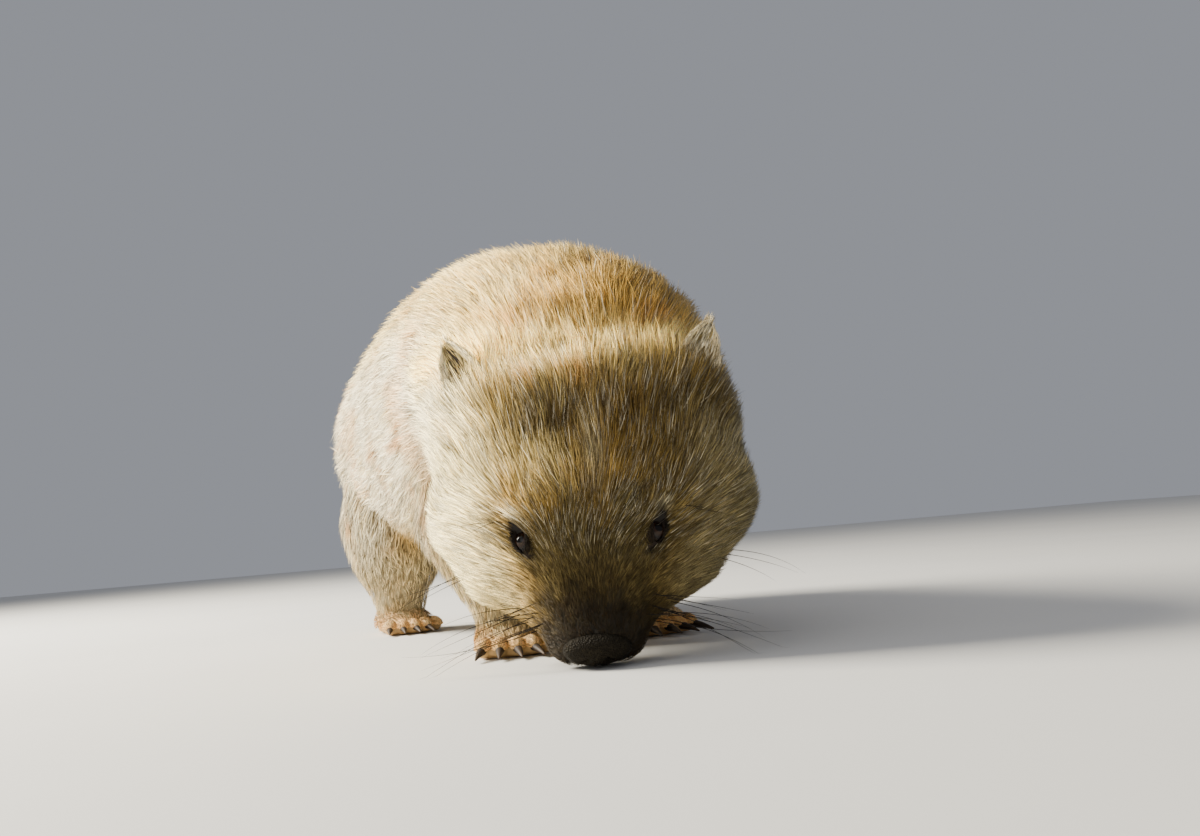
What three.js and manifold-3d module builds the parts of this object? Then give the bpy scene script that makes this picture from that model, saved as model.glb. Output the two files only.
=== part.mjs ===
// A life-size model of a bare-nosed wombat, grazing with its nose on the ground.
// Units are millimetres and +Z is up. The animal faces -Y and its left side is +X.
// The origin is under the middle of the animal, at the level that its feet stand on.
import * as THREE from "three";
import { LoftGeometry } from "three/addons/geometries/LoftGeometry.js";
import { mergeVertices } from "three/addons/utils/BufferGeometryUtils.js";
import Module from "manifold-3d";

const wasm = await Module();
wasm.setup();

const { sin, cos, abs, sign, sqrt, hypot, exp, max, min, PI } = Math;
const degrees = (angle) => (angle * PI) / 180;

// Driving sizes
const GAP = 0.3;
const BODY_HALF_WIDTH = 130;
const RUMP_CAP = 108;
const SNOUT_CAP = 17;
const RUMP_BLUNTNESS = 2.5;
const HEAD_TURN = degrees(18);

// Cross-sections of the bare body from the rump to the snout. Each stands at the middle of its own
// plane, so far forward and high, pitched down in degrees, moved sideways, and turned by a share of
// the head's turn. Its half width is a share of the body's, and its half heights are up and down
// from the middle. The coat over it has a depth, whose share the dense inner coat fills.
const SECTIONS = [
  // name, forward, height, pitch, side, turn, width, up, down, coat, core
  ["rump", -322, 205, -8, 0, 0, 0.96, 90, 100, 24, 0.5],
  ["hips", -215, 216, -5, 0, 0, 1.06, 98, 113, 24, 0.5],
  ["loin", -90, 223, -2, 0, 0, 1.05, 111, 127, 24, 0.5],
  ["ribs", 50, 223, 2, 0, 0, 1.02, 122, 126, 24, 0.5],
  ["shoulder", 155, 220, 10, 0, 0.1, 0.96, 116, 110, 26, 0.5],
  ["collar", 218, 208, 26, -2, 0.4, 0.88, 100, 94, 28, 0.5],
  ["nape", 268, 184, 45, -6, 0.75, 0.82, 84, 84, 27, 0.5],
  ["crown", 298, 151, 57, -10, 1, 0.8, 67, 76, 23, 0.5],
  ["cheeks", 320, 112, 63, -17, 1, 0.75, 54, 62, 18, 0.62],
  ["eyes", 335, 79, 66, -26, 1, 0.5, 43, 44, 10, 0.9],
  ["muzzle", 346, 49, 67, -30, 1, 0.335, 32, 29, 5, 0.9],
  ["snout", 357, 19, 68, -34, 1, 0.26, 24, 21, 3, 0.9],
].map(([name, forward, height, pitch, side, turn, width, up, down, coat, core]) => ({
  name,
  forward,
  height,
  pitch,
  side,
  turn,
  width,
  up,
  down,
  coat,
  core,
}));
const ROUNDNESS = 2.25;

// Distances along the body from the end of the rump, at each section.
const stationAt = [0];
for (let i = 1; i < SECTIONS.length; i++) {
  const behind = SECTIONS[i - 1];
  const here = SECTIONS[i];
  stationAt.push(stationAt[i - 1] + hypot(here.forward - behind.forward, here.height - behind.height));
}
const SNOUT_END = stationAt.at(-1) + SNOUT_CAP;
const distanceOf = (name) => stationAt[SECTIONS.findIndex((section) => section.name === name)];

// A smooth curve through one value of every section, with the slope at each
// section taken from its two neighbours.
function along(distance, valueOf) {
  const last = SECTIONS.length - 1;
  let i = 0;
  while (i < last - 1 && distance > stationAt[i + 1]) i++;
  const value = (k) => valueOf(SECTIONS[k]);
  const slope = (k) => {
    const before = max(k - 1, 0);
    const after = min(k + 1, last);
    return (value(after) - value(before)) / (stationAt[after] - stationAt[before]);
  };
  const span = stationAt[i + 1] - stationAt[i];
  const t = min(1, (distance - stationAt[i]) / span);
  const t2 = t * t;
  const t3 = t2 * t;
  return (
    (2 * t3 - 3 * t2 + 1) * value(i) +
    (t3 - 2 * t2 + t) * span * slope(i) +
    (3 * t2 - 2 * t3) * value(i + 1) +
    (t3 - t2) * span * slope(i + 1)
  );
}

// Middle and axes of the body's cross-section at a distance from the rump.
function bodyFrame(distance) {
  const within = min(distance, stationAt.at(-1));
  const turn = along(within, (section) => section.turn);
  const pitch = degrees(along(within, (section) => section.pitch));
  const level = new THREE.Vector3(-sin(turn * HEAD_TURN), -cos(turn * HEAD_TURN), 0);
  const ahead = level.clone().multiplyScalar(cos(pitch)).setZ(-sin(pitch));
  const upward = level.clone().multiplyScalar(sin(pitch)).setZ(cos(pitch));
  const leftward = new THREE.Vector3(cos(turn * HEAD_TURN), -sin(turn * HEAD_TURN), 0);
  const middle = new THREE.Vector3(
    along(within, (section) => section.side),
    -along(within, (section) => section.forward),
    along(within, (section) => section.height),
  );
  middle.addScaledVector(ahead, distance - within);
  return { middle, ahead, upward, leftward };
}

// Swellings and hollows of the head: where each is, its spread along and round, and its height.
const EYE_AT = distanceOf("eyes") - 1;
const EYE_ANGLE = degrees(41);
const FORMS = [
  { at: EYE_AT - 14, angle: degrees(31), spread: 14, round: degrees(15), height: 4 },
  { at: EYE_AT + 2, angle: EYE_ANGLE, spread: 12, round: degrees(13), height: -5 },
  { at: distanceOf("cheeks") + 6, angle: degrees(106), spread: 34, round: degrees(40), height: 15 },
  { at: EYE_AT + 14, angle: degrees(114), spread: 23, round: degrees(34), height: 22 },
  { at: distanceOf("crown") - 19, angle: 0, spread: 15, round: degrees(60), height: 6 },
  { at: distanceOf("nape") - 4, angle: 0, spread: 20, round: degrees(72), height: -7 },
  { at: distanceOf("muzzle") + 4, angle: degrees(92), spread: 15, round: degrees(30), height: 4 },
  { at: distanceOf("muzzle") - 6, angle: 0, spread: 16, round: degrees(24), height: -2 },
];

const rounded = (value) => sign(value) * abs(value) ** (2 / ROUNDNESS);
const bell = (value) => exp(-value * value);

// A point of the body: distance from the rump, angle from the top towards
// the animal's left, and height above the bare skin.
function bodyPoint(distance, angle, lift) {
  const { middle, ahead, upward, leftward } = bodyFrame(distance);
  const within = min(distance, stationAt.at(-1));
  const width = BODY_HALF_WIDTH * along(within, (section) => section.width) + lift;
  const up = along(within, (section) => section.up) + lift;
  const down = along(within, (section) => section.down) + lift;
  const rumpPart = max(0, 1 - distance / RUMP_CAP);
  const snoutPart = max(0, (distance - (SNOUT_END - SNOUT_CAP)) / SNOUT_CAP);
  const rumpSize = (1 - min(1, rumpPart) ** RUMP_BLUNTNESS) ** (1 / RUMP_BLUNTNESS);
  const size = rumpSize * sqrt(max(0, 1 - snoutPart * snoutPart));
  let form = 0;
  for (const { at, angle: aroundAt, spread, round, height } of FORMS) {
    const around = abs(Math.atan2(sin(angle), cos(angle)));
    form += height * bell((distance - at) / spread) * bell((around - aroundAt) / round);
  }
  const sideways = rounded(sin(angle)) * (width + form);
  const vertical = rounded(cos(angle)) * ((cos(angle) > 0 ? up : down) + form);
  return middle
    .addScaledVector(ahead, lift * (snoutPart - rumpPart))
    .addScaledVector(leftward, size * sideways)
    .addScaledVector(upward, size * vertical);
}

// Ruff of longer hair round the cheeks, and how much of it the dense inner coat fills.
const RUFF = { at: EYE_AT + 6, angle: degrees(112), spread: 40, round: degrees(42), depth: 14, core: 0.4 };

function ruffDepth(distance, angle) {
  const around = abs(Math.atan2(sin(angle), cos(angle)));
  return RUFF.depth * bell((distance - RUFF.at) / RUFF.spread) * bell((around - RUFF.angle) / RUFF.round);
}

// Depth of the coat above the bare form without the ruff. It is shorter on the belly.
function evenDepth(distance, angle) {
  const depth = along(min(distance, stationAt.at(-1)), (section) => section.coat);
  return depth * (0.82 + 0.18 * cos(angle));
}

const coatDepth = (distance, angle) => evenDepth(distance, angle) + ruffDepth(distance, angle);

// Joining and cutting
function solidOf(geometry) {
  const bare = new THREE.BufferGeometry();
  bare.setAttribute("position", geometry.getAttribute("position"));
  bare.setIndex(geometry.index);
  const merged = mergeVertices(bare, 1e-4);
  const kept = [];
  for (let i = 0; i < merged.index.count; i += 3) {
    const [a, b, c] = [0, 1, 2].map((k) => merged.index.getX(i + k));
    if (a !== b && b !== c && c !== a) kept.push(a, b, c);
  }
  const mesh = new wasm.Mesh({
    numProp: 3,
    vertProperties: merged.attributes.position.array,
    triVerts: new Uint32Array(kept),
  });
  return new wasm.Manifold(mesh);
}

// A closed loft. Its rings may run either way round.
function loft(sections) {
  const [first, second] = sections;
  const facing = new THREE.Vector3();
  first.forEach((point, i) => {
    const here = point.clone().sub(first[0]);
    const next = first[(i + 1) % first.length].clone().sub(first[0]);
    facing.add(here.cross(next));
  });
  const backwards = facing.dot(second[0].clone().sub(first[0])) < 0;
  const rings = backwards ? sections.map((section) => section.slice().reverse()) : sections;
  return solidOf(new LoftGeometry(rings, { capStart: true, capEnd: true }));
}
const join = (solids) => solids.reduce((whole, piece) => whole.add(piece));

function largest(solid) {
  const pieces = solid.decompose();
  return pieces.reduce((best, piece) => (piece.volume() > best.volume() ? piece : best));
}

// Faces that a corner moves by less than this are merged.
const SLACK = 0.08;

function meshOf(name, solid, material) {
  const { numProp, numVert, vertProperties, triVerts } = largest(solid.simplify(SLACK)).getMesh();
  const positions = new Float32Array(numVert * 3);
  for (let i = 0; i < numVert; i++) {
    positions.set(vertProperties.subarray(i * numProp, i * numProp + 3), i * 3);
  }
  const geometry = new THREE.BufferGeometry();
  geometry.setAttribute("position", new THREE.BufferAttribute(positions, 3));
  geometry.setIndex(new THREE.BufferAttribute(new Uint32Array(triVerts), 1));
  geometry.computeVertexNormals();
  const mesh = new THREE.Mesh(geometry, material);
  mesh.name = name;
  return mesh;
}

function ball(radii, matrix, across = 12, down = 8) {
  const geometry = new THREE.SphereGeometry(1, across, down);
  geometry.applyMatrix4(new THREE.Matrix4().makeScale(...radii));
  geometry.applyMatrix4(matrix);
  return solidOf(geometry);
}

// A matrix from a point and two axes at right angles.
function placeAt(point, xAxis, zAxis) {
  const yAxis = new THREE.Vector3().crossVectors(zAxis, xAxis);
  return new THREE.Matrix4().makeBasis(xAxis, yAxis, zAxis).setPosition(point);
}

// A round bar along points, whose radius is a function of its share of the way.
function bar(points, radiusAt, sides = 6) {
  const path = new THREE.CatmullRomCurve3(points);
  const steps = max(3, points.length - 1);
  const frames = path.computeFrenetFrames(steps, false);
  const sections = [];
  for (let i = 0; i <= steps; i++) {
    const centre = path.getPointAt(i / steps);
    const section = [];
    for (let k = 0; k < sides; k++) {
      const angle = (2 * PI * k) / sides;
      const radius = radiusAt(i / steps);
      section.push(
        centre
          .clone()
          .addScaledVector(frames.normals[i], radius * cos(angle))
          .addScaledVector(frames.binormals[i], radius * sin(angle)),
      );
    }
    sections.push(section);
  }
  return loft(sections);
}

const fur = new THREE.MeshStandardMaterial({ color: 0xc9b183, roughness: 0.95, metalness: 0 });
const darkFur = new THREE.MeshStandardMaterial({ color: 0x6b5a3e, roughness: 0.95, metalness: 0 });
const leather = new THREE.MeshStandardMaterial({ color: 0x2a2421, roughness: 0.6, metalness: 0 });
const horn = new THREE.MeshStandardMaterial({ color: 0x3b342b, roughness: 0.5, metalness: 0 });
const wet = new THREE.MeshStandardMaterial({ color: 0x15100c, roughness: 0.15, metalness: 0 });

// Torso, neck and head: one form from rump to snout, parted across the collar and the nape.
const TORSO_END = distanceOf("collar") - 22;
const NECK_END = distanceOf("nape") + 8;
const SIDES = 28;
const BEND_GAP = 0.9;

// A point on the core: the dense inner coat, which the locks stand out of.
function corePoint(distance, angle, extra = 0) {
  const share = along(min(distance, stationAt.at(-1)), (section) => section.core);
  const depth = evenDepth(distance, angle) * share + ruffDepth(distance, angle) * RUFF.core;
  return bodyPoint(distance, angle, depth + extra);
}

function bodySection(distance, extra) {
  const section = [];
  for (let i = 0; i < SIDES; i++) section.push(corePoint(distance, (2 * PI * i) / SIDES, extra));
  return section;
}

// Distances for a length of body: closer together in the round ends.
function stepsBetween(start, end, spacing) {
  const steps = [];
  const count = Math.round((end - start) / spacing);
  for (let i = 0; i <= count; i++) steps.push(start + ((end - start) * i) / count);
  return steps;
}

const RUMP_STEPS = [0.002, 0.03, 0.1, 0.22, 0.42, 0.68].map((share) => share * RUMP_CAP);
const SNOUT_STEPS = [0.45, 0.75, 0.92, 0.995].map((share) => SNOUT_END - SNOUT_CAP * (1 - share));

function bodyLength(distances, extra = 0) {
  return loft(distances.map((distance) => bodySection(distance, extra)));
}

const torsoSteps = [...RUMP_STEPS, ...stepsBetween(RUMP_CAP, TORSO_END, 44)];
const neckSteps = stepsBetween(TORSO_END + BEND_GAP, NECK_END, 22);
const headSteps = [...stepsBetween(NECK_END + BEND_GAP, SNOUT_END - SNOUT_CAP, 14.5), ...SNOUT_STEPS];

// Legs: level rings from inside the body down to the ankle.
const LEGS = {
  front: [
    { height: 217, side: 62, forward: -8, across: 48, along: 62 },
    { height: 160, side: 80, forward: -12, across: 46, along: 57 },
    { height: 108, side: 82, forward: -14, across: 39, along: 45 },
    { height: 67, side: 76, forward: -4, across: 27, along: 31 },
    { height: 36, side: 72, forward: 2, across: 21, along: 22 },
    { height: 18, side: 71, forward: 4, across: 20, along: 20 },
  ],
  hind: [
    { height: 247, side: 60, forward: -6, across: 46, along: 84 },
    { height: 186, side: 82, forward: 4, across: 52, along: 82 },
    { height: 127, side: 90, forward: 14, across: 49, along: 68 },
    { height: 76, side: 88, forward: 0, across: 37, along: 45 },
    { height: 41, side: 85, forward: -12, across: 25, along: 30 },
    { height: 20, side: 84, forward: -14, across: 21, along: 24 },
  ],
};
const LEG_COAT = 9;
const SHIN_COAT = 6.3;
const KNEE_HEIGHT = { front: 98, hind: 112 };
const ANKLE_HEIGHT = 22;
const LEG_SIDES = 16;

// A leg slants forwards or back towards its foot by its stride.
const strideAt = (stance, height) => stance.stride * (1 - height / LEGS[stance.kind][0].height);

function legSection(kind, stance, height, lift) {
  const rings = LEGS[kind];
  let i = 0;
  while (i < rings.length - 2 && height < rings[i + 1].height) i++;
  const t = (rings[i].height - height) / (rings[i].height - rings[i + 1].height);
  const blend = t * t * (3 - 2 * t) * 0.5 + t * 0.5;
  const value = (key) => rings[i][key] + (rings[i + 1][key] - rings[i][key]) * blend;
  const section = [];
  for (let k = 0; k < LEG_SIDES; k++) {
    const angle = (2 * PI * k) / LEG_SIDES;
    section.push(
      new THREE.Vector3(
        stance.side * (value("side") + stance.spread) + (value("across") + lift) * rounded(cos(angle)),
        -(stance.forward + value("forward") + strideAt(stance, height)) +
          (value("along") + lift) * rounded(sin(angle)),
        height,
      ),
    );
  }
  return section;
}

function legLength(kind, stance, top, bottom, lift) {
  const steps = stepsBetween(top, bottom, -22);
  return loft(steps.map((height) => legSection(kind, stance, height, lift)).reverse());
}

const STANCES = {
  front_left: { kind: "front", side: 1, forward: 138, stride: 4, spread: 10, turn: degrees(6) },
  front_right: { kind: "front", side: -1, forward: 146, stride: 38, spread: -12, turn: degrees(-6) },
  hind_left: { kind: "hind", side: 1, forward: -176, stride: 12, spread: 2, turn: degrees(-6) },
  hind_right: { kind: "hind", side: -1, forward: -186, stride: -14, spread: 8, turn: degrees(6) },
};

// Feet: a flat sole from heel to toes, with the toes fanned round its front.
const FEET = {
  front: { heel: -30, toes: 36, width: 31, height: 36, clawLength: 27, count: 5, fan: 17 },
  hind: { heel: -36, toes: 52, width: 31, height: 36, clawLength: 21, count: 5, fan: 14 },
};
const SOLE_SIDES = 10;
const SOLE_HEIGHT = 0.62;
const TOE = { width: 8, length: 15, height: 10 };
const TOE_CENTRE = TOE.height * 0.72;
const CLAW_BASE = 4.2;
const CLAW_TIP = 0.14;
const CLAW_LIFT = 4.4;
const CLAW_ROOT = TOE.length * 0.55;
const CLAW_ARCH = TOE.height * 0.35;

function footParts(stance) {
  const rings = LEGS[stance.kind];
  const ankle = rings.at(-1);
  const foot = FEET[stance.kind];
  const ahead = stance.forward + ankle.forward + strideAt(stance, 0);
  const place = new THREE.Matrix4()
    .makeRotationZ(stance.turn)
    .setPosition(stance.side * (ankle.side + stance.spread), -ahead, 0);
  const soleLength = foot.toes - foot.heel;
  const sections = [];
  for (const share of [0, 0.08, 0.3, 0.6, 0.85, 1]) {
    const swell = sqrt(max(0.02, 1 - (2 * share - 1) ** 6));
    const halfWidth = foot.width * swell * (0.86 + 0.14 * share);
    const halfHeight = foot.height * SOLE_HEIGHT * swell * (1 - 0.38 * share);
    const section = [];
    for (let k = 0; k < SOLE_SIDES; k++) {
      const angle = (-2 * PI * k) / SOLE_SIDES;
      section.push(
        new THREE.Vector3(
          halfWidth * rounded(sin(angle)),
          -(foot.heel + soleLength * share),
          halfHeight * 0.6 + halfHeight * rounded(cos(angle)),
        ).applyMatrix4(place),
      );
    }
    sections.push(section);
  }
  const pieces = [loft(sections)];
  const claws = [];
  for (let toe = 0; toe < foot.count; toe++) {
    const rank = toe - (foot.count - 1) / 2;
    const heading = degrees(foot.fan * rank * 0.55);
    const spread = foot.width * 0.82 * (rank / ((foot.count - 1) / 2));
    const set = foot.toes - 1.6 * rank * rank;
    const toePlace = new THREE.Matrix4()
      .makeRotationZ(heading)
      .setPosition(spread, -set, TOE_CENTRE)
      .premultiply(place);
    pieces.push(ball([TOE.width, TOE.length, TOE.height], toePlace, 6, 4));
    const thumb = stance.kind === "hind" && toe === (stance.side > 0 ? 0 : foot.count - 1);
    if (thumb) continue;
    const shape = (grown) => {
      const points = [];
      for (let i = 0; i <= 3; i++) {
        const share = i / 3;
        const reach = CLAW_ROOT - grown + (foot.clawLength + 2 * grown) * share;
        const rise = CLAW_ARCH * (1 - share * share) + CLAW_LIFT - 1.2 * share;
        points.push(new THREE.Vector3(0, -reach, rise - TOE_CENTRE));
      }
      const size = (share) => CLAW_BASE * (1 - (1 - CLAW_TIP) * share ** 1.4) + grown;
      return bar(points.map((point) => point.applyMatrix4(toePlace)), size, 5);
    };
    claws.push({ rank: toe + 1, solid: shape(0), grown: shape(GAP) });
  }
  return { sole: join(pieces).trimByPlane([0, 0, 1], 0), claws };
}

// Head: eyes in their lids, a nose pad, the mouth with its own jaw, and ears.
const EYE_RADIUS = 9.5;
const EYE_DEPTH = 6.2;
const EYE_FACING = degrees(27);
const LID = { along: 14.5, across: 10.5, height: 7.4, depth: 3.4 };
const EYE_OPENING = { along: 9, across: 4.2, height: 8, ahead: 1.5 };
const eyes = [1, -1].map((side) => {
  const { ahead, upward, leftward } = bodyFrame(EYE_AT);
  const skin = corePoint(EYE_AT, side * EYE_ANGLE);
  const outward = upward.clone().multiplyScalar(cos(EYE_FACING));
  outward.addScaledVector(leftward, side * sin(EYE_FACING));
  return { side, skin, outward, ahead };
});

// A ball or a flattened one, at a depth under the skin of the eye.
function atEye(eye, radii, depth, ahead = 0) {
  const centre = eye.skin.clone().addScaledVector(eye.outward, -depth).addScaledVector(eye.ahead, ahead);
  return ball(radii, placeAt(centre, eye.ahead, eye.outward), 12, 7);
}

const eyeBall = (eye, radius) => atEye(eye, [radius, radius, radius], EYE_DEPTH);
const eyeLids = (eye) => atEye(eye, [LID.along, LID.across, LID.height], LID.depth);
const eyeOpening = (eye) =>
  atEye(eye, [EYE_OPENING.along, EYE_OPENING.across, EYE_OPENING.height], -4, EYE_OPENING.ahead);

// The mouth runs back from under the nose pad. What lies below it is the lower jaw.
const MOUTH_START = SNOUT_END + 6;
const MOUTH_END = distanceOf("muzzle") - 3;
const JAW_END = distanceOf("eyes") - 4;
const JAW_REACH = 120;
const JAW_DROP = 90;
const mouthLevel = (distance) => -5 - 7 * ((SNOUT_END - distance) / (SNOUT_END - MOUTH_END));

function underMouth(rise) {
  const sections = [];
  for (let i = 0; i <= 3; i++) {
    const distance = MOUTH_START + ((JAW_END - rise - MOUTH_START) * i) / 3;
    const { middle, upward, leftward } = bodyFrame(distance);
    const corner = (side, level) =>
      middle.clone().addScaledVector(leftward, side * JAW_REACH).addScaledVector(upward, level);
    const top = mouthLevel(distance) + rise;
    sections.push([corner(1, top), corner(1, -JAW_DROP), corner(-1, -JAW_DROP), corner(-1, top)]);
  }
  return loft(sections.reverse());
}

// Line of the mouth on the surface, from corner to corner round the front.
function mouthLine(lift, level) {
  const points = [];
  for (let i = -7; i <= 7; i++) {
    const share = abs(i) / 7;
    const distance = SNOUT_END - 2.5 - (SNOUT_END - MOUTH_END) * share ** 1.6;
    const height = mouthLevel(distance) + level;
    const section = bodyFrame(distance);
    let best = PI / 2;
    for (let k = 0; k < 24; k++) {
      const point = bodyPoint(distance, best, lift).sub(section.middle);
      best += (point.dot(section.upward) - height) * 0.012;
    }
    const side = i === 0 ? 0 : sign(i);
    if (side === 0) {
      const tip = bodyPoint(SNOUT_END - 0.5, 0, lift);
      points.push(tip.addScaledVector(section.upward, height));
    } else {
      points.push(bodyPoint(distance, side * best, lift));
    }
  }
  return points;
}

const headCore = bodyLength(headSteps);
const headGrown = bodyLength([NECK_END, ...headSteps], GAP);
const LIP = 2.1;
const MOUTH_SLIT = 1.1;
const lips = [LIP, -LIP].map((level) => bar(mouthLine(0, level), () => LIP, 5));
const mouthGroove = bar(mouthLine(1.4, 0), () => MOUTH_SLIT, 4);
const lids = eyes.map(eyeLids);
const muzzleAndLids = join([headCore, ...lips, ...lids]);

const NOSE_HALF = [23, 15, 11];
const NOSTRIL_HALF = [6.2, 3.2, 6];
const noseFrame = bodyFrame(SNOUT_END - 10);
const nosePoint = noseFrame.middle.clone();
nosePoint.addScaledVector(noseFrame.upward, 13).addScaledVector(noseFrame.ahead, 3.5);
const nosePlace = placeAt(nosePoint, noseFrame.leftward, noseFrame.ahead);
const noseBall = (grown) => ball(NOSE_HALF.map((size) => size + grown), nosePlace, 14, 8);
const nostrils = [1, -1].map((side) => {
  const centre = nosePoint
    .clone()
    .addScaledVector(noseFrame.leftward, side * 10)
    .addScaledVector(noseFrame.upward, 5)
    .addScaledVector(noseFrame.ahead, 10);
  const tilt = noseFrame.leftward.clone().multiplyScalar(side * 0.85);
  tilt.addScaledVector(noseFrame.upward, -0.5).normalize();
  return ball(NOSTRIL_HALF, placeAt(centre, tilt, noseFrame.ahead), 10, 6);
});

// Ears: a leaf that rises back and out from the crown and faces forward, hollowed in front.
const EAR = { at: distanceOf("crown") - 13, angle: degrees(44), length: 62, width: 18.5, depth: 10 };
const EAR_ROOT = -14;
const EAR_CUP = { scale: 0.76, ahead: 5.2, start: 19 };
const EAR_SIDES = 12;

function earShell(side, grown) {
  const { ahead, upward, leftward } = bodyFrame(EAR.at);
  const root = bodyPoint(EAR.at, side * EAR.angle, 0);
  const rise = ahead.clone().multiplyScalar(-0.7);
  rise.addScaledVector(leftward, side * 0.42).addScaledVector(upward, 0.6).normalize();
  const facing = upward.clone().multiplyScalar(0.8).addScaledVector(ahead, 0.3);
  facing.addScaledVector(leftward, side * 0.4);
  facing.addScaledVector(rise, -facing.dot(rise)).normalize();
  const across = new THREE.Vector3().crossVectors(facing, rise).normalize();
  const leaf = (scale, forwardShift, start, extra) => {
    const sections = [];
    for (const share of [0, 0.2, 0.42, 0.64, 0.83, 0.95, 1]) {
      const swell = (1 - share ** 2.4) ** 0.8 * (0.86 + 0.4 * share);
      const half = max(0.6, EAR.width * scale * swell) + extra;
      const deep = max(0.5, EAR.depth * scale * swell * (1 - 0.35 * share)) + extra;
      const bend = 7 * share * share;
      const centre = root
        .clone()
        .addScaledVector(rise, start + (EAR.length + extra - start) * share)
        .addScaledVector(facing, forwardShift - bend);
      const section = [];
      for (let k = 0; k < EAR_SIDES; k++) {
        const angle = (2 * PI * k) / EAR_SIDES;
        section.push(
          centre
            .clone()
            .addScaledVector(across, half * cos(angle))
            .addScaledVector(facing, deep * sin(angle)),
        );
      }
      sections.push(section);
    }
    return loft(sections);
  };
  const outer = leaf(1, 0, EAR_ROOT, grown);
  return grown ? outer : outer.subtract(leaf(EAR_CUP.scale, EAR_CUP.ahead, EAR_CUP.start, 0));
}

// Coat locks: flat and tapered, rooted in the core, bending back over it along the lie of the
// coat until their tips reach the coat's full depth.
let seed = 7;
function random() {
  seed = (seed * 16807) % 2147483647;
  return seed / 2147483647;
}
const vary = (middle, share) => middle * (1 + share * (2 * random() - 1));

const LOCK_ROOT = 6;
const LOCK_DRIFT = 0.35;
const LOCK_HALF_WIDTH = 0.46;
const LOCK_RINGS = [
  { share: 0, rise: 0, width: 0.55, thick: 3.4 },
  { share: 0.4, rise: 0.7, width: 1, thick: 3 },
  { share: 0.7, rise: 0.93, width: 0.64, thick: 2.4 },
  { share: 1, rise: 1, width: 0.05, thick: 0.6 },
];

// One lock from its root towards the rump. Its drift turns it down the side of the body.
function lock(distance, angle, length, halfWidth, drift) {
  const heading = drift * sin(angle);
  let covered = 0;
  const sections = LOCK_RINGS.map(({ share, rise, width, thick }) => {
    const step = (share - covered) * length;
    covered = share;
    const base = corePoint(distance, angle);
    const backward = corePoint(distance - 2, angle).sub(base).divideScalar(2);
    const around = corePoint(distance, angle + 0.02).sub(base).divideScalar(0.02);
    distance -= (step * cos(heading)) / backward.length();
    angle += (step * sin(heading)) / around.length();
    const outward = new THREE.Vector3().crossVectors(backward, around).normalize();
    const path = backward.normalize().multiplyScalar(cos(heading));
    path.addScaledVector(around.normalize(), sin(heading));
    const across = new THREE.Vector3().crossVectors(outward, path).normalize();
    const tips = bodyPoint(distance, angle, coatDepth(distance, angle) - thick * 0.6);
    const sunk = corePoint(distance, angle, -LOCK_ROOT);
    const centre = sunk.lerp(tips, rise);
    const half = halfWidth * width;
    return [
      centre.clone().addScaledVector(across, half).addScaledVector(outward, -thick),
      centre.clone().addScaledVector(outward, thick * 0.6),
      centre.clone().addScaledVector(across, -half).addScaledVector(outward, -thick),
    ];
  });
  return loft(sections);
}

// What lies between the planes of two cross-sections.
function between(solid, start, end) {
  const first = bodyFrame(start);
  const last = bodyFrame(end);
  return solid
    .trimByPlane(first.ahead.toArray(), first.ahead.dot(first.middle))
    .trimByPlane(last.ahead.clone().negate().toArray(), -last.ahead.dot(last.middle));
}

// Rows of locks over a length of the body, staggered from row to row. None runs past its start.
function locksOver({ start, end, row, column, length, front = 0 }) {
  const locks = [];
  let odd = 0;
  for (let distance = end - LOCK_ROOT; distance > max(start, 0) + row * 0.5; distance -= row) {
    const girth = 2 * PI * bodyPoint(distance, PI / 2, 0).distanceTo(bodyFrame(distance).middle);
    const count = max(7, Math.round(girth / column));
    for (let k = 0; k < count; k++) {
      const angle = ((k + odd / 2) / count) * 2 * PI - PI;
      const reach = min(vary(length, 0.12), (distance - max(start, 4)) * 0.92);
      if (abs(angle) < front) continue;
      const halfWidth = vary((LOCK_HALF_WIDTH * girth) / count, 0.06);
      locks.push(lock(distance, angle + vary(0.02, 1), reach, halfWidth, vary(LOCK_DRIFT, 0.5)));
    }
    odd = 1 - odd;
  }
  return between(join(locks), start, end);
}

const part = new THREE.Group();

const torsoCore = bodyLength(torsoSteps);
const neckCore = bodyLength(neckSteps);
const bodyGrown = bodyLength(torsoSteps, GAP).add(
  bodyLength([TORSO_END - 2, ...neckSteps], GAP),
);

// Legs and feet
const legRooms = [];
for (const [place, stance] of Object.entries(STANCES)) {
  const knee = KNEE_HEIGHT[stance.kind];
  const top = LEGS[stance.kind][0].height;
  const upper = legLength(stance.kind, stance, top, knee + GAP, LEG_COAT);
  const lower = legLength(stance.kind, stance, knee, ANKLE_HEIGHT, SHIN_COAT);
  const lowerGrown = legLength(stance.kind, stance, knee, ANKLE_HEIGHT - GAP, SHIN_COAT + GAP);
  const { sole, claws } = footParts(stance);
  const clawRoom = join(claws.map((claw) => claw.grown));
  part.add(meshOf(`leg_${place}_upper`, upper.subtract(bodyGrown).subtract(headGrown), fur));
  part.add(meshOf(`leg_${place}_lower`, lower.subtract(bodyGrown).subtract(headGrown), fur));
  part.add(meshOf(`foot_${place}`, sole.subtract(lowerGrown).subtract(clawRoom), darkFur));
  for (const claw of claws) part.add(meshOf(`claw_${place}_${claw.rank}`, claw.solid, horn));
  legRooms.push(legLength(stance.kind, stance, top, knee + GAP, LEG_COAT + GAP), lowerGrown);
}

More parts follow.
